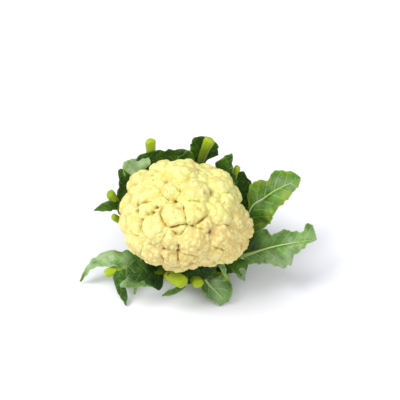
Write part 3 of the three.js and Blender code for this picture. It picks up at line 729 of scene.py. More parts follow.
def grid_faces(rows, columns, closed=False, start=0, flip=False):
    """Four-sided faces between a grid's points, row by row; closed joins the last column to the first."""
    number = start + np.arange(rows * columns).reshape(rows, columns)
    beside = np.roll(number, -1, axis=1) if closed else number[:, 1:]
    here = number if closed else number[:, :-1]
    quads = np.stack([here[:-1], beside[:-1], beside[1:], here[1:]], axis=-1).reshape(-1, 4)
    return (quads[:, ::-1] if flip else quads).tolist()


def fan(ring, middle, flip=False):
    """Three-sided faces from a closed ring of points to a middle one."""
    pairs = zip(ring, list(ring[1:]) + [ring[0]])
    return [[middle, b, a] if flip else [middle, a, b] for a, b in pairs]


# Materials

BRUISED = colour(176, 122, 42)
SPOT = colour(176, 186, 62)
BACKLIT_YELLOW = colour(158, 186, 40)
BLEMISH = colour(62, 70, 18)
FLOOR_PATCH = colour(244, 244, 246)
# Factors that change a colour when it is multiplied by them
YELLOWER = (1.0, 0.96, 0.78)
MOTTLED = (0.86, 0.8, 0.62)
LIGHTER = (1.5, 1.45, 1.1)
IN_SHADE = (0.2, 0.26, 0.16)


class Shader:
    """A material with one surface shader, and short calls to add the nodes that lead to it."""

    def __init__(self, name, roughness, constants=()):
        self.material = bpy.data.materials.new(name)
        self.material.use_nodes = True
        self.tree = self.material.node_tree
        self.tree.nodes.clear()
        self.surface = self.tree.nodes.new("ShaderNodeBsdfPrincipled")
        output = self.tree.nodes.new("ShaderNodeOutputMaterial")
        self.tree.links.new(self.surface.outputs["BSDF"], output.inputs["Surface"])
        self.surface.inputs["Roughness"].default_value = roughness
        for key, value in dict(constants).items():
            self.surface.inputs[key].default_value = value

    def feed(self, socket, value):
        if isinstance(value, bpy.types.NodeSocket):
            self.tree.links.new(value, socket)
        elif isinstance(value, tuple) and socket.type == "RGBA":
            socket.default_value = (*value[:3], 1)
        else:
            socket.default_value = value

    def node(self, kind, output, inputs, **options):
        made = self.tree.nodes.new(kind)
        for key, value in options.items():
            setattr(made, key, value)
        for key, value in inputs.items():
            self.feed(made.inputs[key], value)
        return made.outputs[output]

    def attribute(self, name):
        return self.node("ShaderNodeAttribute", "Fac", {}, attribute_name=name)

    def math(self, operation, *values):
        inputs = dict(enumerate(values))
        return self.node("ShaderNodeMath", 0, inputs, operation=operation)

    def ramp(self, value, low, high, to_low=0.0, to_high=1.0):
        inputs = {"Value": value, "From Min": low, "From Max": high, "To Min": to_low, "To Max": to_high}
        return self.node("ShaderNodeMapRange", "Result", inputs, interpolation_type="SMOOTHSTEP")

    def mix(self, factor, a, b, blend="MIX"):
        made = self.tree.nodes.new("ShaderNodeMix")
        made.data_type = "RGBA"
        made.blend_type = blend
        self.feed(made.inputs["Factor"], factor)
        for socket, value in zip([s for s in made.inputs if s.type == "RGBA"], (a, b)):
            self.feed(socket, value)
        return next(s for s in made.outputs if s.type == "RGBA")

    def place(self):
        return self.node("ShaderNodeTexCoord", "Object", {})

    def noise(self, place, size, detail=2.0):
        """Noise from 0 to 1 with features of a size in millimetres, on Object coordinates."""
        inputs = {"Vector": place, "Scale": 1 / (size * MM), "Detail": detail}
        return self.node("ShaderNodeTexNoise", 0, inputs)

    def bump(self, height, distance, strength=1.0):
        inputs = {"Height": height, "Distance": distance * MM, "Strength": strength}
        return self.node("ShaderNodeBump", "Normal", inputs)

    def finish(self, base, normal=None, roughness=None):
        self.feed(self.surface.inputs["Base Color"], base)
        if normal is not None:
            self.feed(self.surface.inputs["Normal"], normal)
        if roughness is not None:
            self.feed(self.surface.inputs["Roughness"], roughness)
        return self.material


def curd_material():
    """Cream florets with painted shade (darker low down, tan in clefts, brown in gaps), fine grain and a few
    dark specks.
    """
    head = settings("cauliflower_head")
    shader = Shader("cream florets", 0.62, {"Subsurface Weight": 0.06, "Subsurface Scale": 0.003})
    place = shader.place()
    patches = shader.ramp(shader.noise(place, 22), 0.35, 0.68)
    # Painted shade: the lower and right side of the head takes the darker lower colour.
    base = shader.mix(shader.attribute("grainy"), tuple(head.cream), tuple(head.shade))
    yellow = shader.mix(1.0, base, YELLOWER, "MULTIPLY")
    base = shader.mix(shader.math("MULTIPLY", patches, 0.6), base, yellow)
    # Painted shade: tan between the small florets, between the clusters on the grainy lower part and along
    # the clefts.
    low = shader.math("SUBTRACT", 1.0, shader.attribute("floret"))
    low = shader.math("MULTIPLY", shader.ramp(low, 0.45, 1.0), 0.3)
    between = shader.math("SUBTRACT", 1.0, shader.attribute("cluster"))
    strength = shader.ramp(shader.attribute("grainy"), 0, 1, 0.08, 0.34)
    between = shader.math("MULTIPLY", shader.ramp(between, 0.5, 1.0), strength)
    hollow_shade = shader.math("MULTIPLY", shader.attribute("cleft"), 0.95)
    hollow_shade = shader.math("MAXIMUM", shader.math("MAXIMUM", low, between), hollow_shade)
    base = shader.mix(hollow_shade, base, tuple(head.tan))
    # Painted shade: brown deep in the open gaps.
    open_gap = shader.math("MINIMUM", shader.math("MULTIPLY", shader.attribute("gap"), 1.15), 1.0)
    base = shader.mix(open_gap, base, tuple(head.brown))
    speck = shader.ramp(shader.attribute("bud"), 0.25, 0.1)
    few = shader.ramp(shader.noise(place, 4.5, 1.0), 0.62, 0.7)
    speck = shader.math("MULTIPLY", shader.math("MULTIPLY", speck, few), 0.55)
    base = shader.mix(speck, base, tuple(head.brown))
    base = shader.mix(shader.attribute("bare"), base, tuple(head.branch))
    bruise = shader.math("MULTIPLY", shader.attribute("bruise"), 0.75)
    base = shader.mix(bruise, base, BRUISED)
    mottled = shader.mix(1.0, base, MOTTLED, "MULTIPLY")
    base = shader.mix(shader.ramp(shader.noise(place, 3.4, 3.0), 0.5, 0.75, 0.0, 0.6), base, mottled)
    grain = shader.bump(shader.noise(place, 0.9, 3.0), 0.25, 0.5)
    return shader.finish(base, grain)


def leaf_material():
    """Green blades, pale veins, a fine net, waxy undersides, yellow-green midribs; painted shade, sheen and
    light.
    """
    leaf = settings("cauliflower_leaves")
    constants = {"Specular IOR Level": 0.22, "Subsurface Weight": 0.08, "Subsurface Scale": 0.003}
    shader = Shader("leaf green", 0.46, constants)
    place = shader.place()
    flat = shader.node("ShaderNodeUVMap", "UV", {}, uv_map="flat")
    patches = shader.ramp(shader.noise(place, 17), 0.32, 0.7)
    green = shader.mix(patches, tuple(leaf.deep_green), tuple(leaf.green))
    light = shader.mix(1.0, green, LIGHTER, "MULTIPLY")
    green = shader.mix(shader.ramp(shader.noise(place, 5.5), 0.45, 0.75, 0.0, 0.5), green, light)
    under = shader.mix(shader.ramp(shader.noise(place, 13), 0.3, 0.7), tuple(leaf.under), light)
    under = shader.mix(0.25, under, tuple(leaf.under))
    # Wax on the upper side takes the underside's waxy colour: partly the real bloom, partly a painted sheen.
    blade = shader.mix(shader.attribute("under"), green, under)
    cells = {"Vector": flat, "Scale": 0.3, "Randomness": 1.0}
    net = shader.node("ShaderNodeTexVoronoi", "Distance", cells, feature="DISTANCE_TO_EDGE")
    net = shader.ramp(net, 0.09, 0.0)
    from_vein = shader.math("PINGPONG", shader.attribute("vein_place"), 0.5)
    half = shader.math("MAXIMUM", shader.attribute("vein_half"), 0.001)
    soft_vein = shader.math("DIVIDE", from_vein, half)
    soft_vein = shader.ramp(soft_vein, 1.6, 0.5)
    pale = shader.math("MAXIMUM", shader.math("MULTIPLY", net, 0.2), shader.math("MULTIPLY", soft_vein, 0.5))
    pale = shader.math("MAXIMUM", pale, shader.attribute("main_vein"))
    blade = shader.mix(pale, blade, tuple(leaf.vein))
    blade = shader.mix(shader.math("MULTIPLY", shader.attribute("rim"), 0.55), blade, tuple(leaf.vein))
    spots = shader.ramp(shader.noise(place, 7, 3.0), 0.7, 0.76, 0.0, 0.7)
    blade = shader.mix(spots, blade, SPOT)
    # Painted light: yellow-green where light shines through the blade near its edge.
    blade = shader.mix(shader.attribute("yellow"), blade, BACKLIT_YELLOW)
    streak = shader.node("ShaderNodeMapping", "Vector", {"Vector": flat, "Scale": (0.02, 1.1, 1.0)})
    streak = shader.node("ShaderNodeTexNoise", 0, {"Vector": streak, "Scale": 1.0, "Detail": 3.0})
    rib = shader.mix(shader.attribute("stub"), tuple(leaf.rib), tuple(leaf.stub))
    rib = shader.mix(shader.ramp(streak, 0.35, 0.75, 0.0, 0.2), rib, tuple(leaf.vein))
    rib = shader.mix(shader.attribute("pale"), rib, tuple(leaf.vein))
    base = shader.mix(shader.attribute("rib"), blade, rib)
    # Painted shade: darker where the head keeps the light from a blade or a midrib.
    dim = shader.mix(1.0, base, IN_SHADE, "MULTIPLY")
    base = shader.mix(shader.attribute("shade"), base, dim)
    mark = shader.math("MULTIPLY", shader.attribute("mark"), 0.9)
    base = shader.mix(mark, base, BLEMISH)
    height = shader.math("ADD", shader.math("MULTIPLY", net, -0.5), shader.noise(place, 1.4, 2.0))
    normal = shader.bump(height, 0.35, 0.8)
    rough = shader.ramp(shader.noise(place, 9), 0.3, 0.7, 0.42, 0.58)
    return shader.finish(base, normal, rough)


def stalk_material():
    """A pale green skin, and a cut face with pale pith inside a greener ring."""
    stalk = settings("cauliflower_stalk")
    shader = Shader("stalk", 0.55, {"Subsurface Weight": 0.1, "Subsurface Scale": 0.004})
    place = shader.place()
    patches = shader.ramp(shader.noise(place, 9), 0.3, 0.7, 0.0, 0.5)
    skin = shader.mix(patches, tuple(stalk.skin), tuple(stalk.pith))
    ring = shader.ramp(shader.attribute("outward"), 0.72, 0.8)
    fibre = shader.ramp(shader.noise(place, 1.3, 2.0), 0.35, 0.7, 0.0, 0.4)
    cut = shader.mix(ring, tuple(stalk.pith), tuple(stalk.skin))
    cut = shader.mix(fibre, cut, tuple(stalk.skin))
    base = shader.mix(shader.attribute("cut"), skin, cut)
    return shader.finish(base, shader.bump(shader.noise(place, 1.2, 3.0), 0.3, 0.5))


def floor_material():
    shader = Shader("studio floor", 0.9, {"Specular IOR Level": 0.1})
    floor = settings("cauliflower_stage").floor
    place = shader.place()
    slight = shader.ramp(shader.noise(place, 400), 0.3, 0.7, 0.0, 0.02)
    return shader.finish(shader.mix(slight, tuple(floor), FLOOR_PATCH))


def give_material(piece, material):
    piece.data.materials.clear()
    piece.data.materials.append(material)


# The head

GOLDEN_ANGLE = math.pi * (3 - math.sqrt(5))
BALL_STEPS = 96  # along each edge of the icosahedron that the surface starts from
BRUISE = (24, 28, 2.6)  # in the view: to the right, above, radius
BRUISE_DEPTH = 0.9
LEVELS = ("floret", "cluster", "bud")
FLORET_LIFT = 0.9  # the small florets raise the surface by about this much


def seen_direction(right, up):
    """The direction from the head's middle to the point of its surface that the view shows at a place."""
    dome = settings("cauliflower_head").dome / MM
    half = CURD_HALF + dome * OTHER_SPREAD
    seen = np.array([right, 0, 0]) + VIEW_UP * up
    start = seen / half
    way = TO_VIEWER / half
    b = start @ way / (way @ way)
    c = (start @ start - 1) / (way @ way)
    place = seen + TO_VIEWER * (math.sqrt(max(0, b * b - c)) - b)
    return unit(place), np.linalg.norm(place)


def large_florets():
    """Directions and spreads of the large florets: those listed, and others where these leave room."""
    towards = []
    spreads = []
    for right, up, radius in LARGE_FLORETS:
        direction, distance = seen_direction(right, up)
        towards.append(direction)
        spreads.append(radius / distance)
    listed = len(towards)
    draw = random_sequence(11)
    spacing = math.sqrt(2 * math.pi * (1 - LOWEST_FLORET) / OTHER_FLORETS)
    for i in range(OTHER_FLORETS):
        z = 1 - (i + 0.5) * (1 - LOWEST_FLORET) / OTHER_FLORETS
        ring = math.sqrt(1 - z * z)
        nudge = np.array([next(draw) - 0.5 for _ in range(3)])
        spiral = np.array([ring * math.cos(i * GOLDEN_ANGLE), ring * math.sin(i * GOLDEN_ANGLE), z])
        direction = unit(spiral + nudge * 2 * 0.28 * spacing)
        angles = np.arccos(np.clip(np.array(towards[:listed]) @ direction, -1, 1))
        if np.all(angles > np.array(spreads[:listed]) + OTHER_SPREAD / 2):
            towards.append(direction)
            spreads.append(OTHER_SPREAD)
    return np.array(towards), np.array(spreads)


def floret_domes(directions):
    """Height of the highest large floret in each direction, and of the next one, in millimetres."""
    towards, spreads = large_florets()
    dome = settings("cauliflower_head").dome / MM
    best = np.full(len(directions), -50.0)
    second = np.full(len(directions), -50.0)
    for middle, spread in zip(towards, spreads):
        angle = np.arccos(np.clip(directions @ middle, -1, 1))
        share = (angle / (DOME_REACH * spread)) ** 2
        rise = dome * spread * np.sign(1 - share) * np.abs(1 - share) ** 0.65
        second = np.maximum(second, np.minimum(best, rise))
        best = np.maximum(best, rise)
    return best, second


def body_reach(directions):
    """How far the head reaches in each direction under its florets."""
    reach = 1 / np.linalg.norm(directions / CURD_HALF, axis=1)
    for height, towards, sharpness in BULGES:
        reach += height * np.maximum(0, directions @ np.array(towards)) ** sharpness
    return reach


def ball(steps):
    """Points all over a unit sphere, and its three-sided faces: an icosahedron with each face divided."""
    golden = (1 + math.sqrt(5)) / 2
    corners = []
    for a in (-1, 1):
        for b in (-golden, golden):
            corners += [(0, a, b), (a, b, 0), (b, 0, a)]
    corners = unit(np.array(corners))
    near = corners @ corners.T
    edge = np.sort(near[0])[-2] - 1e-6
    points = []
    faces = []
    for i in range(12):
        for j in range(i + 1, 12):
            for k in range(j + 1, 12):
                if min(near[i, j], near[j, k], near[i, k]) < edge:
                    continue
                a, b, c = corners[i], corners[j], corners[k]
                if np.cross(b - a, c - a) @ a < 0:
                    b, c = c, b
                start = sum(len(p) for p in points)
                rows, columns = np.meshgrid(range(steps + 1), range(steps + 1), indexing="ij")
                kept = columns <= rows
                number = np.full(kept.shape, -1)
                number[kept] = start + np.arange(kept.sum())
                u = rows[kept][:, None] / steps
                v = columns[kept][:, None] / steps
                points.append(unit(a * (1 - u) + b * (u - v) + c * v))
                up = np.argwhere(columns[:-1, :-1] <= rows[:-1, :-1])
                r, s = up[:, 0], up[:, 1]
                faces.append(np.stack([number[r, s], number[r + 1, s], number[r + 1, s + 1]], axis=1))
                down = up[up[:, 1] < up[:, 0]]
                r, s = down[:, 0], down[:, 1]
                faces.append(np.stack([number[r, s], number[r + 1, s + 1], number[r, s + 1]], axis=1))
    points = np.concatenate(points)
    faces = np.concatenate(faces)
    _, first, same = np.unique(np.round(points, 6), axis=0, return_index=True, return_inverse=True)
    return points[first], same.reshape(-1)[faces]


def angle_mask(directions, right, up, radius):
    """One at a place that the view shows, falling to nothing round it."""
    middle, distance = seen_direction(right, up)
    away = np.arccos(np.clip(directions @ middle, -1, 1)) * distance
    return np.exp(-((away / radius) ** 2))


def head_surface(directions):
    """The head's large florets, clefts and gaps: points, and the values that its material reads."""
    head = settings("cauliflower_head")
    at = directions * 65
    bend = np.stack([noise(at, 11, 31 + axis) + 0.5 * noise(at, 5, 41 + axis) for axis in range(3)], axis=1)
    warped = unit(directions + 0.022 * bend)
    best, second = floret_domes(warped)
    bare = smoothstep(*UNDERSIDE, directions[:, 2])
    covered = smoothstep(0.3, 1.5, best)
    apart = (best - np.maximum(second, -3)) / (1 + 0.5 * noise(at, 14, 3))
    cut = (0.55 * np.exp(-((apart / 1.4) ** 2)) + 0.45 * np.exp(-apart / 3.2)) * covered
    cleft = np.exp(-((apart / 2.1) ** 2)) * covered * np.clip(0.95 + 0.5 * noise(at, 18, 4), 0, 1)
    gap = np.zeros(len(directions))
    for right, up, radius in GAPS:
        gap = np.maximum(gap, angle_mask(warped, right, up, radius * 1.7))
    gap = gap * (0.3 + 0.7 * np.exp(-((apart / 2.6) ** 2)))
    bruise = angle_mask(warped, *BRUISE)
    turn = np.arctan2(directions[:, 1], directions[:, 0])
    ring = np.stack([np.cos(turn), np.sin(turn), directions[:, 2]], axis=1) * 30
    branches = np.abs(np.sin(turn * 4.5 + 1.2 * noise(ring, 16, 51)))
    # The lower and right side of the head as seen: its clefts cut deeper, its buds grow grainier, and the
    # material paints it darker there as shade.
    low = smoothstep(0.1, -0.5, directions @ (VIEW_UP - 0.35 * TO_RIGHT))
    relief = np.maximum(0, best) - cut * (1 + 0.7 * low) * head.cleft / MM
    relief = relief - gap * head.gap / MM - BRUISE_DEPTH * bruise
    relief = relief * (1 - UNDERSIDE_FLATTENING * bare) + bare * (3.2 * branches - 2.4)
    reach = body_reach(directions) + relief - FLORET_LIFT * (1 - bare)
    grainy = np.clip(0.15 + 0.85 * low + 0.35 * noise(at, 26, 5), 0, 1)
    points = directions * reach[:, None] + CURD_CENTRE
    return points, {"bare": bare, "cleft": cleft, "gap": gap, "grainy": grainy, "bruise": bruise}


class FloretNodes:
    """A Geometry Nodes tree that raises florets, clusters and buds, evenly spread, from a surface."""

    def __init__(self, material):
        self.tree = bpy.data.node_groups.new("florets", "GeometryNodeTree")
        self.sockets = {}
        face = self.tree.interface
        face.new_socket("Geometry", in_out="OUTPUT", socket_type="NodeSocketGeometry")
        face.new_socket("Geometry", in_out="INPUT", socket_type="NodeSocketGeometry")
        self.inputs = self.tree.nodes.new("NodeGroupInput")
        surface = self.inputs.outputs["Geometry"]
        position = self.output("GeometryNodeInputPosition")
        grainy = self.named("grainy")
        bare = self.named("bare")
        open_gap = self.math("MAXIMUM", self.named("gap"), self.math("MULTIPLY", self.named("cleft"), 0.6))
        total = 0.0
        fields = {}
        for level in LEVELS:
            dome, rise = self.level(surface, position, level)
            if level == "bud":
                rise = self.math("MULTIPLY", rise, self.math("MULTIPLY_ADD", grainy, 0.75, 0.25))
            if level == "cluster":
                rise = self.math("MULTIPLY", rise, self.math("MULTIPLY_ADD", grainy, 0.8, 0.2))
            total = self.math("ADD", total, rise)
            fields[level] = dome
        total = self.math("MULTIPLY", total, self.math("MULTIPLY_ADD", bare, -0.92, 1.0))
        total = self.math("MULTIPLY", total, self.math("SUBTRACT", 1.0, open_gap))
        normal = self.output("GeometryNodeInputNormal")
        lift = self.tree.nodes.new("ShaderNodeVectorMath")
        lift.operation = "SCALE"
        self.feed(lift.inputs["Vector"], normal)
        self.feed(lift.inputs["Scale"], total)
        for level, dome in fields.items():
            store = self.tree.nodes.new("GeometryNodeStoreNamedAttribute")
            store.inputs["Name"].default_value = level
            self.feed(store.inputs["Geometry"], surface)
            self.feed(store.inputs["Value"], dome)
            surface = store.outputs["Geometry"]
        move = self.tree.nodes.new("GeometryNodeSetPosition")
        self.feed(move.inputs["Geometry"], surface)
        self.feed(move.inputs["Offset"], lift.outputs["Vector"])
        smooth = self.tree.nodes.new("GeometryNodeSetShadeSmooth")
        self.feed(smooth.inputs["Geometry"], move.outputs["Geometry"])
        real = self.tree.nodes.new("GeometryNodeRealizeInstances")
        self.feed(real.inputs["Geometry"], smooth.outputs["Geometry"])
        paint = self.tree.nodes.new("GeometryNodeSetMaterial")
        paint.inputs["Material"].default_value = material
        self.feed(paint.inputs["Geometry"], real.outputs["Geometry"])
        out = self.tree.nodes.new("NodeGroupOutput")
        self.feed(out.inputs["Geometry"], paint.outputs["Geometry"])

    def feed(self, socket, value):
        if isinstance(value, bpy.types.NodeSocket):
            self.tree.links.new(value, socket)
        else:
            socket.default_value = value

    def output(self, kind):
        return self.tree.nodes.new(kind).outputs[0]

    def math(self, operation, *values):
        node = self.tree.nodes.new("ShaderNodeMath")
        node.operation = operation
        for socket, value in zip(node.inputs, values):
            self.feed(socket, value)
        return node.outputs[0]

    def named(self, name):
        node = self.tree.nodes.new("GeometryNodeInputNamedAttribute")
        node.inputs["Name"].default_value = name
        return node.outputs["Attribute"]

    def input(self, name, kind="NodeSocketFloat"):
        socket = self.tree.interface.new_socket(name, in_out="INPUT", socket_type=kind)
        self.sockets[name] = socket.identifier
        return self.inputs.outputs[name]

    def level(self, surface, position, level):
        """The domes of one size: how near each point is to the nearest middle, and how far that lifts it."""
        spacing = self.input(level + " spacing")
        height = self.input(level + " height")
        seed = self.input(level + " seed", "NodeSocketInt")
        spread = self.tree.nodes.new("GeometryNodeDistributePointsOnFaces")
        spread.distribute_method = "POISSON"
        self.feed(spread.inputs["Mesh"], surface)
        self.feed(spread.inputs["Distance Min"], spacing)
        crowd = self.math("DIVIDE", 3.0, self.math("MULTIPLY", spacing, spacing))
        self.feed(spread.inputs["Density Max"], crowd)
        self.feed(spread.inputs["Seed"], seed)
        middles = spread.outputs["Points"]
        near = self.tree.nodes.new("GeometryNodeSampleNearest")
        self.feed(near.inputs["Geometry"], middles)
        self.feed(near.inputs["Sample Position"], position)
        pick = self.tree.nodes.new("GeometryNodeSampleIndex")
        pick.data_type = "FLOAT_VECTOR"
        self.feed(pick.inputs["Geometry"], middles)
        self.feed(pick.inputs["Value"], self.output("GeometryNodeInputPosition"))
        self.feed(pick.inputs["Index"], near.outputs["Index"])
        away = self.tree.nodes.new("ShaderNodeVectorMath")
        away.operation = "DISTANCE"
        self.feed(away.inputs[0], position)
        self.feed(away.inputs[1], pick.outputs["Value"])
        share = self.math("DIVIDE", away.outputs["Value"], self.math("MULTIPLY", spacing, 0.7))
        dome = self.math("MAXIMUM", self.math("SUBTRACT", 1.0, self.math("POWER", share, 2.8)), 0.0)
        return dome, self.math("MULTIPLY", dome, height)


def build_head():
    directions, faces = ball(BALL_STEPS)
    points, values = head_surface(directions)
    piece = mesh_object("rough_head", Patch(points, faces.tolist(), **values))
    head = settings("cauliflower_head")
    material = curd_material()
    florets = FloretNodes(material)
    modifier = piece.modifiers.new("florets", "NODES")
    modifier.node_group = florets.tree
    for number, level in enumerate(LEVELS):
        modifier[florets.sockets[level + " spacing"]] = getattr(head, level + "_spacing")
        modifier[florets.sockets[level + " height"]] = getattr(head, level + "_height")
        modifier[florets.sockets[level + " seed"]] = 5 + number
    depsgraph = bpy.context.evaluated_depsgraph_get()
    mesh = bpy.data.meshes.new_from_object(piece.evaluated_get(depsgraph), depsgraph=depsgraph)
    bpy.data.objects.remove(piece)
    finished = bpy.data.objects.new("head_of_florets", mesh)
    bpy.context.scene.collection.objects.link(finished)
    give_material(finished, material)
    if len(mesh.polygons) < 1000:
        raise RuntimeError("the head came out empty")
    place_on_frame(finished, "curd")


def place_on_frame(piece, node):
    """The piece stands for a node of the frame and rides with the whole part."""
    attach(piece, "root")
    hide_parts(node)


# Leaves

def line_at(knots, places):
    """Points and directions on a smooth curve through knots, at places from 0 to 1 along its length."""
    knots = np.array(knots, float)
    first = 2 * knots[0] - knots[1]
    last = 2 * knots[-1] - knots[-2]
    line = np.vstack([first, knots, last])

    def at(t):
        place = np.clip(t, 0, 1) * (len(knots) - 1)
        i = np.minimum(place.astype(int), len(knots) - 2)
        w = (place - i)[:, None]
        p0, p1, p2, p3 = (line[i + k] for k in range(4))
        t0 = 0.5 * (p2 - p0)
        t1 = 0.5 * (p3 - p1)
        return p1 + t0 * w + (3 * (p2 - p1) - 2 * t0 - t1) * w**2 + (2 * (p1 - p2) + t0 + t1) * w**3

    steps = np.linspace(0, 1, 201)
    lengths = np.linalg.norm(np.diff(at(steps), axis=0), axis=1)
    gone = np.concatenate([[0], np.cumsum(lengths)])
    places = np.asarray(places, float)
    t = np.interp(places * gone[-1], gone, steps)
    points = at(t)
    held = np.interp(np.clip(places, 0.001, 0.999) * gone[-1], gone, steps)
    ways = unit(at(held + 0.0001) - at(held - 0.0001))
    return points, ways, gone[-1]


def along(values, t):
    """A value that runs smoothly through a list of values, evenly spaced from 0 to 1."""
    values = np.array([values] if np.isscalar(values) else values, float)
    place = np.maximum(0, np.asarray(t, float) * (len(values) - 1))
    i = np.minimum(len(values) - 1, place.astype(int))
    after = np.minimum(i + 1, len(values) - 1)
    return values[i] + (values[after] - values[i]) * smoothstep(0, 1, place - i)


def frames_on(knots, places, face):
    """A line's points, the ways across it to the right, and out of its side that faces `face`."""
    points, forward, _ = line_at(knots, places)
    across = unit(np.cross(forward, np.array(face, float)))
    return points, across, unit(np.cross(across, forward))


RIB_FLATNESS = (0.58, 0.8)  # a midrib's depth as a share of its width, at the stalk and at its end
RIB_SIDES = 24
RIB_STEP = 2.2  # between rings of points
RIB_THINNED = 0.3  # a whole leaf's midrib is this much thinner than its solid, past the head
RIDGES = ((0.035, 6), (0.02, 10))  # lengthwise ridges: height as a share of the width, and number
RIDGES_FROM = (6, 14)  # widths between which the ridges grow
FLATTENED = 0.16
WOBBLE = 0.03
CUT_WIDTH = 5.5  # a midrib that ends wider than this was cut
CUT_ROUNDING = 0.75
CUT_TIP = 0.12
END_STEPS = 7
STUB_LENGTH = 30  # how far the brighter green of a cut end reaches down


def rib_stations(rib, length):
    """Places along a midrib, and how much of its width it has at each: closer together round a cut end."""
    places = np.linspace(0, 1, max(6, round(length / RIB_STEP)) + 1)
    if rib.width[-1] < CUT_WIDTH:
        return places, np.ones(len(places))
    rounding = CUT_ROUNDING * rib.width[-1] / 2 / length
    body = places[places < 1 - rounding]
    turn = np.linspace(0, math.pi / 2, END_STEPS + 1)[1:]
    shrink = np.concatenate([np.ones(len(body)), np.cos(turn) ** 0.55])
    shrink[-1] = CUT_TIP
    return np.concatenate([body, 1 - rounding * (1 - np.sin(turn))]), shrink


def midrib_patch(rib, seed):
    """A flattened, lightly ridged stem from the stalk to its rounded cut end, or thinned out to a tip."""
    length = line_at(rib.line, [0])[2]
    is_cut = rib.width[-1] >= CUT_WIDTH
    places, shrink = rib_stations(rib, length)
    count = len(places)
    at, across, out = frames_on(rib.line, places, rib.face)
    half = along(rib.width, places) / 2
    if not is_cut:
        half = half * (1 - RIB_THINNED * smoothstep(0.3, 0.6, places))
    depth = half * along(RIB_FLATNESS, places)
    turn = 2 * math.pi * (np.arange(RIB_SIDES) + 0.5) / RIB_SIDES
    ridge = sum(height * wave(number * turn) for (height, number), wave in zip(RIDGES, (np.cos, np.sin)))
    ridge = ridge * smoothstep(*RIDGES_FROM, 2 * half)[:, None]
    flat_top = 1 - FLATTENED * np.maximum(0, np.sin(turn)) ** 2 * smoothstep(4, 10, 2 * half)[:, None]
    wobble = WOBBLE * wander(places * length, 9, seed)[:, None] * np.ones(RIB_SIDES)
    size = (1 + ridge + wobble) * shrink[:, None]
    side = (half[:, None] * np.cos(turn) * size)[..., None] * across[:, None]
    thick = (depth[:, None] * np.sin(turn) * size * flat_top)[..., None] * out[:, None]
    points = at[:, None] + side + thick
    flat = points.reshape(-1, 3)
    ends = np.stack([points[0].mean(axis=0), points[-1].mean(axis=0)])
    faces = [face[::-1] for face in grid_faces(count, RIB_SIDES, closed=True)]
    faces += fan(list(range(RIB_SIDES)), len(flat))
    faces += fan(list(range((count - 1) * RIB_SIDES, count * RIB_SIDES)), len(flat) + 1, flip=True)

    def with_ends(values, first, last):
        """One value for each point of the grid, and one for the middle of each end."""
        return np.concatenate([np.asarray(values, float).ravel(), [first, last]])

    def by_ring(values):
        return with_ends(np.repeat(values, RIB_SIDES), values[0], values[-1])

    around = np.broadcast_to(turn * half.mean(), (count, RIB_SIDES))
    lengthwise = np.broadcast_to((places * length)[:, None], (count, RIB_SIDES))
    return Patch(
        np.concatenate([flat, ends]),
        faces,
        rib=1.0,
        stub=by_ring(np.exp(-(1 - places) * length / STUB_LENGTH) if is_cut else np.zeros(count)),
        pale=by_ring(np.zeros(count) if is_cut else smoothstep(0.3, 0.6, places)),
        # Painted shade where the head keeps the light from the midrib.
        shade=by_ring(along(rib.shade, places)),
        flat_u=with_ends(lengthwise, 0, length),
        flat_v=with_ends(around, 0, 0),
    )


# Blades: sizes in millimetres
CELL = 1.15  # between points of a blade
LARGE = (8, 20)  # half widths between which a blade gets the veins and puckers of a large one
ROUND_START = (0.45, 5)  # a blade's start and end are rounded by a share of their half width, up to a limit
ROUND_END = (0.5, 6)
TORN = ((0.6, 5, 3), (0.3, 2.2, 4))  # a torn end: height, size and seed of its notches
RAGGED = ((0.06, 9, 0), (0.045, 3.6, 7))  # a ragged edge: share of the width, size and seed
TEETH = (0.04, 6, 5)
VEIN_FORWARD = 0.95  # how far a side vein runs forward for each millimetre outwards
VEIN_BEND = 0.004
VEIN_GROOVE = 1.4  # from a side vein to where the blade swells
PUCKER_NOISE = ((0.7, 7, 22), (0.3, 3.2, 23))
RUFFLE_LENGTH = 13
RIM = 0.6
LOWEST = 0.95  # above the surface that the part stands on
HEAD_CLEARANCE = 1.6  # from the head's florets to a blade that lies against them
HEAD_TUCK = 5.0  # points up to this deep in the head are moved out, and ones far deeper are left
NEAR_HEAD = 15.0  # how far from the head its shade falls on a blade


def blade_sheet(blade, t, v, widths):
    """Points of a blade's middle surface: t along its line, v across it from -1 at the left edge to 1."""
    at, across, out = frames_on(blade.line, t, blade.face)
    height, waves, phase = blade.wave
    points = np.empty((len(t), 3))
    for edge, chosen, width, shift in zip((blade.left, blade.right), (v < 0, v >= 0), widths, (2, 0)):
        reach = np.abs(v[chosen])
        curl = along(edge.curl, t[chosen]) + 1e-4
        arm = width[chosen] * np.sin(curl * reach) / curl
        rise = width[chosen] * (1 - np.cos(curl * reach)) / curl
        sideways = np.sign(v[chosen]) * (arm * math.cos(edge.lift) - rise * math.sin(edge.lift))
        upwards = arm * math.sin(edge.lift) + rise * math.cos(edge.lift)
        wave = height * reach**2 * np.sin(2 * math.pi * waves * t[chosen] + phase + shift)
        sideways = across[chosen] * sideways[:, None]
        points[chosen] = at[chosen] + sideways + out[chosen] * (upwards + wave)[:, None]
    return points


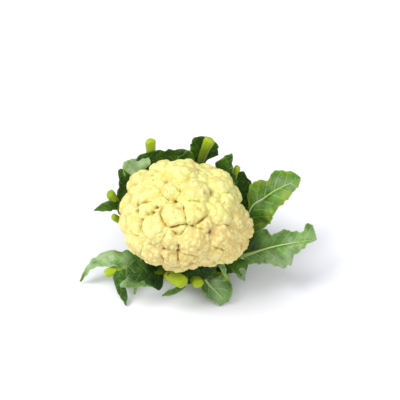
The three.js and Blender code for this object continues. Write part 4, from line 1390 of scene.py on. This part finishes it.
def blade_grid(blade, length, seed):
    """Rows along a blade and columns across it: how many, and each point's place t along and v across."""
    rows = max(10, round(length / CELL)) + 1
    left, right = (max(5, round(max(edge.width) / CELL)) for edge in (blade.left, blade.right))
    v = np.concatenate([np.linspace(-1, 0, left + 1), np.linspace(0, 1, right + 1)[1:]])
    first, last = (min(blade.left.width[i], blade.right.width[i]) for i in (0, -1))
    notches = sum(wander(v * 20, size, seed + own) * height for height, size, own in TORN)
    rounding = np.abs(v) ** 2.5
    start = rounding * min(ROUND_START[0] * first, ROUND_START[1]) / length
    torn = (notches + 0.6) * min(1, last / 6) * 1.2
    end = 1 - (rounding * min(ROUND_END[0] * last, ROUND_END[1]) + torn) / length
    t = start[None] + (end - start)[None] * np.linspace(0, 1, rows)[:, None]
    return rows, len(v), t.ravel(), np.tile(v, rows)


def ragged_widths(blade, t, s, seed):
    """Half widths to the left and to the right, with torn edges: at places t, s millimetres along."""
    widths = []
    for number, edge in enumerate((blade.left, blade.right)):
        ragged = sum(share * wander(s, size, seed + own + 11 * number) for share, size, own in RAGGED)
        share, size, own = TEETH
        teeth = share * np.abs(wander(s, size, seed + own + number))
        widths.append(along(edge.width, t) * (1 + ragged - teeth))
    return widths


def normals(points, rows, columns):
    grid = points.reshape(rows, columns, 3)
    return unit(np.cross(np.gradient(grid, axis=1), np.gradient(grid, axis=0))).reshape(-1, 3)


def vein_values(middle, s, v, from_line, large, seed):
    """Where each point lies between side veins, in spacings, their half width there, and how near one is."""
    spacing = settings("cauliflower_leaves").vein_spacing / MM * (0.55 + 0.45 * large)
    place = (s - from_line * VEIN_FORWARD - VEIN_BEND * from_line**2) / spacing
    place = place + np.where(v < 0, 0.5, 0) + 0.12 * noise(middle, 12, seed + 21) + 40
    half = (0.4 + 0.4 * large) * (1 - 0.75 * np.abs(v)) / spacing
    away = np.abs(place - np.round(place)) * spacing * 0.72
    return place, half, np.exp(-((away / VEIN_GROOVE) ** 2)) * (1 - 0.7 * np.abs(v))


def blade_colours(blade, middle, near, t, v, seed):
    """Painted shade from the head on a blade's upper side, its wax with painted sheen, and painted light
    near its edge.
    """
    wax = along(blade.wax, t)
    wax = np.clip(wax + 0.45 * noise(middle, 13, seed + 41) * (wax > 0), 0, 1)
    dark = np.clip(along(blade.shade, t) * (1 + 0.25 * noise(middle, 12, seed + 42)), 0, 1)
    dark = dark * np.where(v > 0, blade.right_shade, 1)
    dark = np.maximum(dark, blade.near_head * near)
    yellow = blade.yellow * smoothstep(0.4, 1, np.abs(v) + 0.45 * noise(middle, 11, seed + 44))
    yellow = yellow * smoothstep(0, 0.12, t) * np.where(v > 0, 1, 0.7)
    return dark, wax, yellow


def blade_patch(blade, seed):
    """A thin blade with veins, puckers, a ruffled ragged edge and torn or rounded ends."""
    leaf = settings("cauliflower_leaves")
    length = line_at(blade.line, [0])[2]
    large = smoothstep(*LARGE, max(blade.left.width + blade.right.width))
    rows, columns, t, v = blade_grid(blade, length, seed)
    s = t * length
    reach = np.abs(v)
    widths = ragged_widths(blade, t, s, seed)
    width = np.where(v < 0, *widths)
    from_line = reach * width
    middle = blade_sheet(blade, t, v, widths)

    vein_place, vein_half, groove = vein_values(middle, s, v, from_line, large, seed)
    main_half = 0.3 + 0.5 * large * (1 - t)
    main_vein = np.exp(-((from_line / (main_half + 0.3)) ** 2))
    swell = 0.9 * (1 - groove)
    for height, size, own in PUCKER_NOISE:
        swell = swell + height * noise(middle, size, seed + own)
    swell = leaf.pucker / MM * (0.5 + 0.5 * large) * swell - 0.35 * main_vein
    ruffle = leaf.ruffle / MM * smoothstep(0.45, 1, reach) * np.minimum(1, width / 8)
    turn = 2 * math.pi * s / RUFFLE_LENGTH + 2.2 * wander(s, 17, seed + 31) + np.where(v < 0, 1.9, 0)
    fade = smoothstep(0, 0.04, t) * smoothstep(1, 0.96, t)
    relief = swell * (1 - reach**6) + ruffle * np.sin(turn) * (0.4 + 0.6 * fade)
    middle = middle + normals(middle, rows, columns) * relief[:, None]

    normal = normals(middle, rows, columns)
    row = np.repeat(np.arange(rows), columns)
    from_end = np.minimum(row, rows - 1 - row) * CELL
    inside = np.minimum((1 - reach) * np.maximum(width, 1), from_end + 0.001)
    half = leaf.thickness / MM / 2 * (0.35 + 0.65 * smoothstep(0, 2.5, inside))
    middle, near = clear_of_head(middle)
    middle[:, 2] = np.maximum(middle[:, 2], LOWEST)
    count = len(middle)
    number = np.arange(count).reshape(rows, columns)
    edge = np.concatenate([number[0, :-1], number[:-1, -1], number[-1, :0:-1], number[:0:-1, 0]])
    after = np.roll(edge, -1)
    faces = grid_faces(rows, columns) + grid_faces(rows, columns, start=count, flip=True)
    faces += np.stack([edge, edge + count, after + count, after], axis=1).tolist()
    dark, wax, yellow = blade_colours(blade, middle, near, t, v, seed)
    main_vein = main_vein * smoothstep(1, 0.75, t) * (0.5 if blade.whole else 0.0)
    return Patch(
        np.concatenate([middle + normal * half[:, None], middle - normal * half[:, None]]),
        faces,
        rib=0.0,
        # Painted shade on the upper side and less on the underside; the upper side's wax is partly a painted
        # sheen.
        under=np.append(wax, np.ones(count)),
        shade=np.append(dark, 0.45 * dark),
        rim=np.tile(np.exp(-inside / RIM), 2),
        yellow=np.tile(yellow, 2),
        vein_place=np.tile(vein_place, 2),
        vein_half=np.tile(vein_half, 2),
        main_vein=np.tile(main_vein, 2),
        flat_u=np.tile(s, 2),
        flat_v=np.tile(from_line * np.sign(v), 2) + 100,
    )


def clear_of_head(points):
    """Points a little way inside the head moved out to just over it, and how near the head each one is."""
    away = points - CURD_CENTRE
    distance = np.linalg.norm(away, axis=1)
    directions = away / distance[:, None]
    rise = np.maximum(0, floret_domes(directions)[0]) + 1.5
    bare = smoothstep(*UNDERSIDE, directions[:, 2])
    surface = body_reach(directions) + rise * (1 - UNDERSIDE_FLATTENING * bare)
    depth = surface + HEAD_CLEARANCE - distance
    push = np.maximum(0, depth) * smoothstep(HEAD_TUCK * 2.2, HEAD_TUCK, depth)
    near = np.exp(-((np.minimum(0, depth) / NEAR_HEAD) ** 2))
    return points + directions * push[:, None], near


def leaf_marks(points, marks):
    """Dark blemishes: each a place in millimetres and a radius."""
    dark = np.zeros(len(points))
    for x, y, z, radius in marks:
        away = np.linalg.norm(points - np.array([x, y, z]), axis=1)
        dark = np.maximum(dark, smoothstep(radius, radius * 0.6, away))
    return dark


def build_leaf(number, name, material):
    leaf = LEAVES[name]
    patches = [midrib_patch(leaf.rib, 100 * number)]
    for count, blade in enumerate(leaf.blades):
        patches.append(blade_patch(blade, 100 * number + 30 * count + 1))
    whole = joined(patches)
    whole.values["mark"] = leaf_marks(whole.points, leaf.marks)
    piece = mesh_object("fresh_" + name, whole)
    give_material(piece, material)
    place_on_frame(piece, name)


# The stalk

STALK_SIDES = 120
STALK_BEVEL = 1.5
STALK_DISH = 0.7


def stalk_patch():
    """A turned profile with slight lengthwise ribs, and a cut face that dishes a little in the middle."""
    stalk = settings("cauliflower_stalk")
    foot, waist, neck, height = (getattr(stalk, key) / MM for key in ("foot", "waist", "neck", "height"))
    rim = foot - STALK_BEVEL
    face = [(r, STALK_DISH * (1 - (r / rim) ** 2)) for r in np.linspace(0.6, rim, 16)]
    turns = (0.4, 0.8, 1.2)
    corner = [(foot - STALK_BEVEL * (1 - math.sin(a)), STALK_BEVEL * (1 - math.cos(a))) for a in turns]
    levels = np.linspace(STALK_BEVEL, height * 0.92, 28)
    side = [(np.interp(z, [0, height * 0.55, height * 0.92], [foot, waist, neck]), z) for z in levels]
    top = [(neck * k, height * (0.92 + 0.08 * math.sqrt(1 - k * k))) for k in (0.95, 0.8, 0.55, 0.25, 0.02)]
    profile = np.array(face + corner + side + top)
    turn = 2 * math.pi * np.arange(STALK_SIDES) / STALK_SIDES
    rings = len(profile)
    radius = np.repeat(profile[:, 0], STALK_SIDES)
    level = np.repeat(profile[:, 1], STALK_SIDES)
    angle = np.tile(turn, rings)
    ring = np.stack([np.cos(angle) * 24, np.sin(angle) * 24, level * 0.25], axis=1)
    rib = 0.45 * noise(ring, 5, 61) + 0.25 * noise(ring, 2.2, 62)
    radius = radius + rib * smoothstep(foot * 0.8, foot, radius)
    flat = np.stack([radius * np.cos(angle), radius * np.sin(angle), np.maximum(0, level)], axis=1)
    on_face = np.repeat(np.arange(rings) < len(face), STALK_SIDES).astype(float)
    faces = grid_faces(rings, STALK_SIDES, closed=True)
    middle = np.array([[0, 0, STALK_DISH], [0, 0, height]])
    faces += fan(list(range(STALK_SIDES)), len(flat), flip=True)
    faces += fan(list(range((rings - 1) * STALK_SIDES, rings * STALK_SIDES)), len(flat) + 1)
    outward = np.concatenate([radius / foot, [0, 0]])
    return Patch(np.concatenate([flat, middle]), faces, cut=np.append(on_face, [1, 0]), outward=outward)


def build_stalk():
    piece = mesh_object("cut_stalk", stalk_patch())
    give_material(piece, stalk_material())
    place_on_frame(piece, "stalk")


# The stage

LOOK_AT = (184.5, 216)  # the head's middle in the picture, in pixels from its top left corner
PIXEL = 1.185  # millimetres at the head's middle
FLOOR_HALF = 4.0  # metres
KEY = {"from": (-0.58, -0.03, 0.81), "spread": 34}
FILL = {"from": (0.24, -0.42, 0.87), "spread": 95}


def add_floor():
    mesh = bpy.data.meshes.new("studio_floor")
    corners = [(-1, -1), (1, -1), (1, 1), (-1, 1)]
    mesh.from_pydata([(x * FLOOR_HALF, y * FLOOR_HALF, 0) for x, y in corners], [], [(0, 1, 2, 3)])
    floor = bpy.data.objects.new("studio_floor", mesh)
    bpy.context.scene.collection.objects.link(floor)
    give_material(floor, floor_material())


def add_camera():
    """The camera looks from the front, so that the head's middle falls on its pixel of the picture."""
    stage = settings("cauliflower_stage")
    tilt = stage.elevation
    right = Vector((1, 0, 0))
    up = Vector((0, math.sin(tilt), math.cos(tilt)))
    back = Vector((0, -math.cos(tilt), math.sin(tilt)))
    middle = Vector(CURD_CENTRE) + right * (200 - LOOK_AT[0]) * PIXEL + up * (LOOK_AT[1] - 200) * PIXEL
    data = bpy.data.cameras.new("view")
    data.lens = stage.lens
    data.sensor_width = 36
    data.clip_end = 20
    camera = bpy.data.objects.new("view", data)
    camera.location = middle * MM + back * stage.distance
    camera.rotation_euler = (math.pi / 2 - tilt, 0, 0)
    bpy.context.scene.collection.objects.link(camera)
    bpy.context.scene.camera = camera


def add_lamp(name, lamp, strength):
    """A distant light whose spread, in degrees, softens its shadows."""
    data = bpy.data.lights.new(name, "SUN")
    data.angle = math.radians(lamp["spread"])
    data.energy = strength
    made = bpy.data.objects.new(name, data)
    made.rotation_euler = Vector(lamp["from"]).to_track_quat("Z", "Y").to_euler()
    bpy.context.scene.collection.objects.link(made)


def add_lights():
    stage = settings("cauliflower_stage")
    add_lamp("key", KEY, stage.key)
    add_lamp("fill", FILL, stage.fill)
    world = bpy.data.worlds.new("studio")
    world.use_nodes = True
    sky = world.node_tree.nodes["Background"]
    sky.inputs["Color"].default_value = (1, 1, 1, 1)
    sky.inputs["Strength"].default_value = stage.ambient
    bpy.context.scene.world = world
    bpy.context.scene.view_settings.view_transform = "Standard"


# Operators

class BuildHead(bpy.types.Operator):
    """Build the head of florets over the frame's curd"""

    bl_idname = "cauliflower.head"
    bl_label = "Head of florets"

    def execute(self, context):
        build_head()
        return {"FINISHED"}


class BuildLeaves(bpy.types.Operator):
    """Build the sixteen leaves over the frame's leaves"""

    bl_idname = "cauliflower.leaves"
    bl_label = "Leaves"

    def execute(self, context):
        material = leaf_material()
        for number, name in enumerate(LEAVES, start=1):
            build_leaf(number, name, material)
        return {"FINISHED"}


class BuildStalk(bpy.types.Operator):
    """Build the cut stalk over the frame's stalk"""

    bl_idname = "cauliflower.stalk"
    bl_label = "Cut stalk"

    def execute(self, context):
        build_stalk()
        return {"FINISHED"}


class BuildStage(bpy.types.Operator):
    """Add the floor, the lights and the camera"""

    bl_idname = "cauliflower.stage"
    bl_label = "Stage"

    def execute(self, context):
        add_floor()
        add_camera()
        add_lights()
        return {"FINISHED"}


class CauliflowerPanel(bpy.types.Panel):
    """Lists the settings and the steps of the cauliflower"""

    bl_idname = "VIEW3D_PT_cauliflower"
    bl_label = "Cauliflower"
    bl_space_type = "VIEW_3D"
    bl_region_type = "UI"
    bl_category = "Cauliflower"

    def draw(self, context):
        for name, group, step in PARTS:
            box = self.layout.box()
            box.label(text=name)
            holder = getattr(context.scene, group)
            for key in holder.__annotations__:
                box.prop(holder, key)
            box.operator(step)


PARTS = (
    ("Head", "cauliflower_head", BuildHead.bl_idname),
    ("Stalk", "cauliflower_stalk", BuildStalk.bl_idname),
    ("Leaves", "cauliflower_leaves", BuildLeaves.bl_idname),
    ("Stage", "cauliflower_stage", BuildStage.bl_idname),
)
GROUPS = {
    "cauliflower_head": HeadSettings,
    "cauliflower_stalk": StalkSettings,
    "cauliflower_leaves": LeafSettings,
    "cauliflower_stage": StageSettings,
}
OPERATORS = (BuildHead, BuildLeaves, BuildStalk, BuildStage, CauliflowerPanel)


def register():
    for name, group in GROUPS.items():
        bpy.utils.register_class(group)
        setattr(bpy.types.Scene, name, bpy.props.PointerProperty(type=group))
    for kind in OPERATORS:
        bpy.utils.register_class(kind)


def unregister():
    for kind in reversed(OPERATORS):
        bpy.utils.unregister_class(kind)
    for name, group in GROUPS.items():
        delattr(bpy.types.Scene, name)
        bpy.utils.unregister_class(group)


def main():
    register()
    bpy.ops.cauliflower.stage()
    bpy.ops.cauliflower.head()
    bpy.ops.cauliflower.stalk()
    bpy.ops.cauliflower.leaves()


if __name__ == "__main__":
    main()
